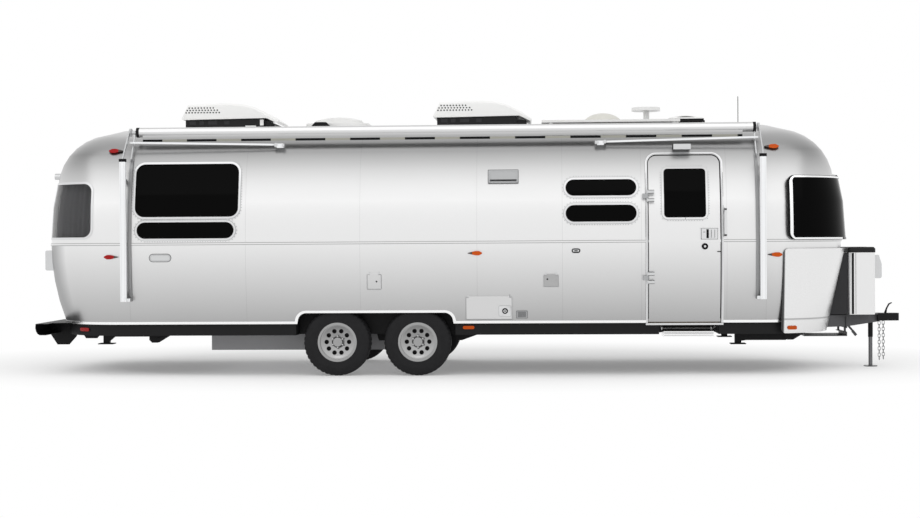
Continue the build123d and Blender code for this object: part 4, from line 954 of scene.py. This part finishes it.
# ---- badge, hatches, vents, lamps
outline_band(SEALS, BADGE, -0.0045, 0.001, KERB, 0.0048)
outline_band(EDGES, BADGE, -0.0160, -0.0120, KERB, 0.0048)
outline_band(SEALS, OUTLET, -0.0160, -0.0040, KERB, 0.0070)
SEALS.block(1.085, 1.119, -1.2525, -1.2500, 1.313, 1.325)
EXHAUST = (0.288, 0.413, 0.630, 0.741, 0.010)
HATCH_KNOBS = {"hatch_rear": (-1.006, 1.005), "hatch_front": (0.800, 1.022)}
for hatch, body in ((HATCH_REAR, "hatch_rear"), (HATCH_FRONT, "hatch_front"), (HEATER_DOOR, "heater_door")):
    edge = Pile(body + "_edge", DULL_METAL, body)
    outline_band(edge, hatch, -0.0105, -0.0070, KERB, 0.0012)
    knob = Pile(body + "_knob", RUBBER, body)
    if body == "heater_door":
        plate = Pile("exhaust_plate", FRAME_RING, body)
        outline_band(plate, EXHAUST, -0.052, 0.0, KERB, 0.0030)
        outline_band(edge, EXHAUST, 0.0, 0.003, KERB, 0.0030)
        at, normal = wall_point(0.352, 0.687, KERB, 0.0015)
        knob.disc(at, normal, 0.031, 0.005, 24)
        plate.disc(at + normal * 0.005, normal, 0.017, 0.002, 16, 0.009)
    else:
        at, normal = wall_point(*HATCH_KNOBS[body], KERB)
        knob.disc(at, normal, 0.009, 0.003, 12)
outline_band(SEALS, RANGE_VENT, -0.004, 0.0, KERB, 0.0098)
VENT_SLOT = (0.199, 0.482)
for z in (2.062, 2.071):
    low = wall_point(VENT_SLOT[0], z, KERB, 0.0095)[0].y
    high = wall_point(VENT_SLOT[1], z + 0.007, KERB, 0.0105)[0].y
    SEALS.block(*VENT_SLOT, high - 0.001, low + 0.004, z, z + 0.006)
outline_band(EDGES, RANGE_VENT, -0.022, -0.018, KERB, 0.0098)
outline_band(SEALS, SMALL_VENT, -0.003, 0.0, KERB, 0.0068)
for i in range(6):
    z = 0.622 + 0.010 * i
    at = wall_point(0.53, z, KERB, 0.006)[0]
    SEALS.block(0.486, 0.574, at.y - 0.0008, at.y + 0.002, z, z + 0.004)

# ---- entrance door furniture
HINGE_ROWS = (1.890, 1.030)
LOCK_FACE = -1.2602
KEY_PLACE = (2.449, 1.358)
# dark lines on the latch plate: x0, x1, z0, z1
LATCH_LINES = (
    (2.4095, 2.4125, 1.4325, 1.5475), (2.5795, 2.5825, 1.4325, 1.5475), (2.41, 2.582, 1.4315, 1.4345),
    (2.41, 2.582, 1.5455, 1.5485), (2.464, 2.488, 1.443, 1.537), (2.512, 2.516, 1.448, 1.532),
    (2.548, 2.552, 1.448, 1.532), (2.430, 2.452, 1.505, 1.510))
for x0, x1, z0, z1 in LATCH_LINES:
    DOOR_SEALS.block(x0, x1, LOCK_FACE - 0.0008, LOCK_FACE + 0.003, z0, z1)
paddle = Pile("latch_paddle", FRAME_RING, "door")
paddle.block(2.490, 2.510, LOCK_FACE - 0.012, LOCK_FACE + 0.002, 1.455, 1.527)
paddle.block(2.518, 2.546, LOCK_FACE - 0.008, LOCK_FACE + 0.002, 1.452, 1.530)
paddle.disc((KEY_PLACE[0], -1.2618, KEY_PLACE[1]), (0, -1, 0), 0.0115, 0.0012, 16)
DOOR_SEALS.block(2.578, 2.612, -1.262, -1.250, 1.298, 1.307)
for z in HINGE_ROWS:
    for low, high in ((0.058, 0.062), (0.025, 0.029), (-0.029, -0.025), (-0.062, -0.058)):
        DOOR_SEALS.block(DOOR[0] - 0.002, DOOR[0] + 0.060, -1.2705, -1.262, z + low, z + high)
grips = Pile("grab_handle_ends", RUBBER)
for z in (1.474, 1.745):
    grips.block(2.648, 2.672, -1.2995, -1.262, z - 0.008, z + 0.008)

# ---- front guards and gas cover
GUARD = (3.304, 4.300, 1.422, 2.100, 0.080)
GUARD_PROUD = 0.0530
GUARD_HALF = 1.2907
silver = Pile("guard_frame", TRIM)
# painted shade: a dark band round each guard window, between the guard sheet and the silver frame, wider
# where the edge faces rearward
shade = Pile("guard_gap", RUBBER)
for side in (KERB, ROAD):
    lines = [[], [], []]
    for x, z, nx, nz in rounded_outline(*GUARD, step=0.008):
        if x > 3.950:
            continue
        wide = max(0.0, -nx)
        dark = 0.005 + 0.021 * wide
        bright = 0.018 + 0.014 * wide
        for line, by in zip(lines, (0.0, -dark, -dark - bright)):
            line.append((x + nx * by, z + nz * by))
    for pile, outer, inner, lift in ((shade, lines[0], lines[1], 0.0), (silver, lines[1], lines[2], 0.002)):
        rows = []
        foot, face = GUARD_PROUD - 0.005, GUARD_PROUD + lift
        for line, out in ((outer, foot), (outer, face), (inner, face), (inner, foot)):
            row = [wall_point(x, z, side, out)[0] for x, z in line]
            rows.append([Vector((at.x, max(-GUARD_HALF, min(GUARD_HALF, at.y)), at.z)) for at in row])
        pile.rows(rows)
centre = Pile("window_guard_frame", TRIM, "window_guard")
for z0, z1 in ((1.424, 1.444), (2.078, 2.098)):
    rows = []
    for z, out in ((z0, -0.002), (z0, 0.002), (z1, 0.002), (z1, -0.002)):
        plan = Plan(z, GUARD_PROUD + out)
        rows.append([(plan.front - plan.end + math.sqrt(plan.end ** 2 - y * y), y, z)
                     for y in [-0.570 + 1.14 * i / 24 for i in range(25)]])
    centre.rows(rows)
# painted shade: a dark sheet on each side between the body's front and the gas cover, where the front wall
# lies in shade
panel = Pile("front_closing_panel", DEEP_GREY)
PANEL_FOOT, PANEL_HEIGHT, PANEL_STEPS = 0.596, 0.675, 12
for side in (KERB, ROAD):
    for i in range(PANEL_STEPS):
        z0, z1 = (PANEL_FOOT + PANEL_HEIGHT * j / PANEL_STEPS for j in (i, i + 1))
        panel.beside(side, Plan(z1).front + 0.010, 4.107, 0.300, 0.304, z0, z1)
# painted shade: dark strips on each side face of the gas cover; the rearmost stands for the shade along the
# cover's rear corner
strip = Pile("gas_cover_strips", PLASTIC)
for side in (KERB, ROAD):
    strip.beside(side, 4.142, 4.168, 0.3350, 0.3370, 0.600, 1.272)
    strip.beside(side, 4.186, 4.190, 0.3350, 0.3370, 0.600, 1.272)

# ---- door step
ribs = Pile("step_ribs", RUBBER, "step_tread")
for z in (0.4185, 0.4360, 0.4480):
    ribs.block(2.030, 2.546, -1.1206, -1.1190, z, z + 0.0035)
for i in range(8):
    y = -1.100 + 0.034 * i
    ribs.block(2.040, 2.536, y, y + 0.010, 0.4615, 0.4628)

# ---- curtains behind the rear panes
CURTAIN_STEP = 0.012
CURTAIN_GAP = 0.085
FOLD_PITCH = 0.085
FOLD_DEPTH = 0.016
cloth = Pile("rear_curtains", CURTAIN)
CURTAIN_MID = 1.75
base = [(at, normal) for at, normal in Plan(CURTAIN_MID).around(CURTAIN_STEP) if at.x < -3.95]
cloth_rows = []
for z in [1.45 + 0.66 * i / 12 for i in range(13)]:
    drawn_in = CURTAIN_GAP + level(z)[0] - level(CURTAIN_MID)[0]
    row = []
    for i, (at, normal) in enumerate(base):
        turn = 2 * math.pi * CURTAIN_STEP * i / FOLD_PITCH
        wave = math.sin(turn) + 0.5 * math.sin(turn / 2.7 + 1.3)
        flat = Vector((normal.x, normal.y, 0)).normalized()
        row.append(Vector((at.x, at.y, z)) + flat * (FOLD_DEPTH * wave - drawn_in))
    cloth_rows.append(row)
cloth.rows(cloth_rows, soft=True)

# ---- awning details
ROLLER_Y, ROLLER_Z, ROLLER_RADIUS = -0.970, 2.622, 0.052
ROLLER_ENDS = (-3.592, 2.915)
SLEEVE_END = 2.985
VALANCE_PITCH, VALANCE_DARK, VALANCE_START = 0.589, 0.322, -1.302
black = Pile("awning_end_caps", BLACK)
sleeve = Pile("roller_sleeve", ROLLER)
sleeve.tube((ROLLER_ENDS[1], ROLLER_Y, ROLLER_Z), (SLEEVE_END, ROLLER_Y, ROLLER_Z), ROLLER_RADIUS, 32)
for x, way in ((ROLLER_ENDS[0], -1), (SLEEVE_END, 1)):
    black.tube((x, ROLLER_Y, ROLLER_Z), (x + way * 0.032, ROLLER_Y, ROLLER_Z), ROLLER_RADIUS + 0.002, 24)
beige = Pile("valance_light", FABRIC)
dark = Pile("valance_dark", RUBBER)
at = VALANCE_START - VALANCE_PITCH * 4
while at < ROLLER_ENDS[1] - 0.04:
    for pile, start, end in ((dark, at, at + VALANCE_DARK), (beige, at + VALANCE_DARK, at + VALANCE_PITCH)):
        lo, hi = max(start, ROLLER_ENDS[0] + 0.042), min(end, ROLLER_ENDS[1] - 0.042)
        if hi > lo:
            pile.block(lo, hi, ROLLER_Y - 0.0415, ROLLER_Y - 0.0405, ROLLER_Z - 0.104, ROLLER_Z - 0.078)
    at += VALANCE_PITCH
clamps = Pile("rafter_clamps", GREY_METAL)
for x, way in ((-2.052, -1), (1.372, 1)):
    y, z = -1.034, 2.474
    clamps.block(x - 0.060, x + 0.030, y - 0.022, y + 0.010, z - 0.026, z + 0.012)
    clamps.tube((x + way * 0.045, y - 0.030, z), (x + way * 0.045, y + 0.02, z), 0.020, 10)
    clamps.tube((x - way * 0.035, y - 0.035, z - 0.008), (x - way * 0.035, y + 0.02, z - 0.008), 0.015, 10)
flutes = Pile("arm_flutes", GREY_METAL)
for x in (-3.690, 3.045):
    for dx in (-0.0185, 0.0185):
        flutes.block(x + dx - 0.0015, x + dx + 0.0015, -1.3451, -1.3440, 0.812, 2.284)

# ---- roof equipment details
holes = Pile("shroud_holes", RUBBER)
HOLE_PITCH = 0.0340
SHROUDS = (0.0, 2.824)
# rows of holes in a shroud's side: x0, x1, z
HOLE_ROWS = ((-3.187, -2.904, 2.934), (-3.210, -2.866, 2.908), (-3.222, -2.827, 2.882))
for shift in SHROUDS:
    for x0, x1, z in HOLE_ROWS:
        count = int((x1 - x0) / HOLE_PITCH)
        for i in range(count + 1):
            for side in (KERB, ROAD):
                at = Vector((x0 + shift + i * HOLE_PITCH, side * 0.3502, z))
                holes.disc(at, (0, side, 0), 0.0085, 0.0018, 8)
under = Pile("shroud_base_parts", DEEP_GREY)
for shift in SHROUDS:
    for x, wide in ((-3.19, 0.07), (-3.08, 0.05), (-2.98, 0.10), (-2.80, 0.06)):
        for side in (KERB, ROAD):
            under.beside(side, x + shift, x + shift + wide, 0.3175, 0.3205, 2.750, 2.790)
bracket = Pile("shroud_bracket", WHITE)
for side in (KERB, ROAD):
    bracket.beside(side, -2.395, -2.355, 0.300, 0.324, 2.735, 2.800)
    bracket.beside(side, -2.560, -2.440, 0.300, 0.324, 2.722, 2.734)
for pile in list(Pile.made):
    pile.finish()


# ---- studio and camera
FLOOR_REACH = 90.0
# painted light: inside this ellipse round the object the floor glows only weakly, which still lightens the
# shadow there; beyond it the glow rises to even white
SHADE_REACH = (7.2, 3.9)
SHADE_CENTRE = (-0.3, 0.7)
FLOOR_GLOW = 0.22
FLOOR_PAINT = (0.90, 0.90, 0.90)
SKY = ((0.0, 1.0), (0.30, 1.0), (0.70, 0.75), (1.0, 0.70))
LAMP_SIZE = (30.0, 14.0)
LAMP_ENERGY = 820.0
LAMP_PLACE = (0.0, -7.5, 11.0)
LAMP_AIM = Vector((0, 0, 1))


def studio():
    """Pale floor that turns to even white away from the object, with painted light near it: a weak glow that
    lightens its shadow; a white surround and one wide soft lamp.
    """
    surface = material("studio floor", FLOOR_PAINT, 0.0, 0.85, Specular_IOR_Level=0.0)
    b = Build(surface)
    x, y, z = b.axes(b.position())
    squares = []
    for place, centre, size in zip((x, y), SHADE_CENTRE, SHADE_REACH):
        share = b.maths("DIVIDE", b.maths("SUBTRACT", place, centre), size)
        squares.append(b.maths("POWER", share, 2.0))
    reach = b.maths("SQRT", b.maths("ADD", *squares))
    glow = b.maths("MULTIPLY_ADD", b.ramp(reach, (0.55, 0.0), (1.0, 1.0)), 1.0 - FLOOR_GLOW, FLOOR_GLOW)
    b.colour(b.mix(glow, FLOOR_PAINT, (0.0, 0.0, 0.0)))
    b.shader.inputs["Emission Color"].default_value = (1, 1, 1, 1)
    b.link(glow, b.shader.inputs["Emission Strength"])
    corners = [(x * FLOOR_REACH, y * FLOOR_REACH, 0) for x, y in ((-1, -1), (1, -1), (1, 1), (-1, 1))]
    floor = new_object("studio_floor", mesh_from("studio_floor", corners, [(0, 1, 2, 3)]), surface, None)
    world = bpy.data.worlds.new("studio")
    bpy.context.scene.world = world
    world.use_nodes = True
    sky = Build(world)
    height = sky.axes(sky.node("ShaderNodeTexCoord").outputs["Generated"])[2]
    sky.link(sky.ramp(height, *SKY), sky.tree.nodes["Background"].inputs["Color"])
    lamp = bpy.data.lights.new("overhead", "AREA")
    lamp.shape = "RECTANGLE"
    lamp.size, lamp.size_y = LAMP_SIZE
    lamp.energy = LAMP_ENERGY
    made = bpy.data.objects.new("overhead", lamp)
    bpy.context.scene.collection.objects.link(made)
    made.location = LAMP_PLACE
    made.rotation_euler = (LAMP_AIM - made.location).to_track_quat("-Z", "Y").to_euler()


# fitted to the photo's wheels, belt and both ends; the photo is 920 pixels wide
FOCAL_PIXELS = 1600.0
HORIZON_PIXELS = 19.0
IMAGE_WIDTH = 920.0
CAMERA_PLACE = (0.724, -18.1, 1.44)
CAMERA_YAW = math.atan(0.05)
CAMERA_PITCH = math.atan(HORIZON_PIXELS / FOCAL_PIXELS)
CAMERA_ROLL = 0.0062
SENSOR = 36.0


def camera():
    lens_data = bpy.data.cameras.new("camera")
    lens_data.sensor_width = SENSOR
    lens_data.lens = FOCAL_PIXELS * SENSOR / IMAGE_WIDTH
    lens_data.clip_end = 300.0
    made = bpy.data.objects.new("camera", lens_data)
    bpy.context.scene.collection.objects.link(made)
    turn = (Matrix.Rotation(CAMERA_YAW, 4, "Z") @ Matrix.Rotation(math.pi / 2 - CAMERA_PITCH, 4, "X")
            @ Matrix.Rotation(-CAMERA_ROLL, 4, "Z"))
    made.matrix_world = Matrix.Translation(CAMERA_PLACE) @ turn
    bpy.context.scene.camera = made


studio()
camera()
bpy.context.scene.view_settings.view_transform = "Standard"

bpy.context.view_layer.update()
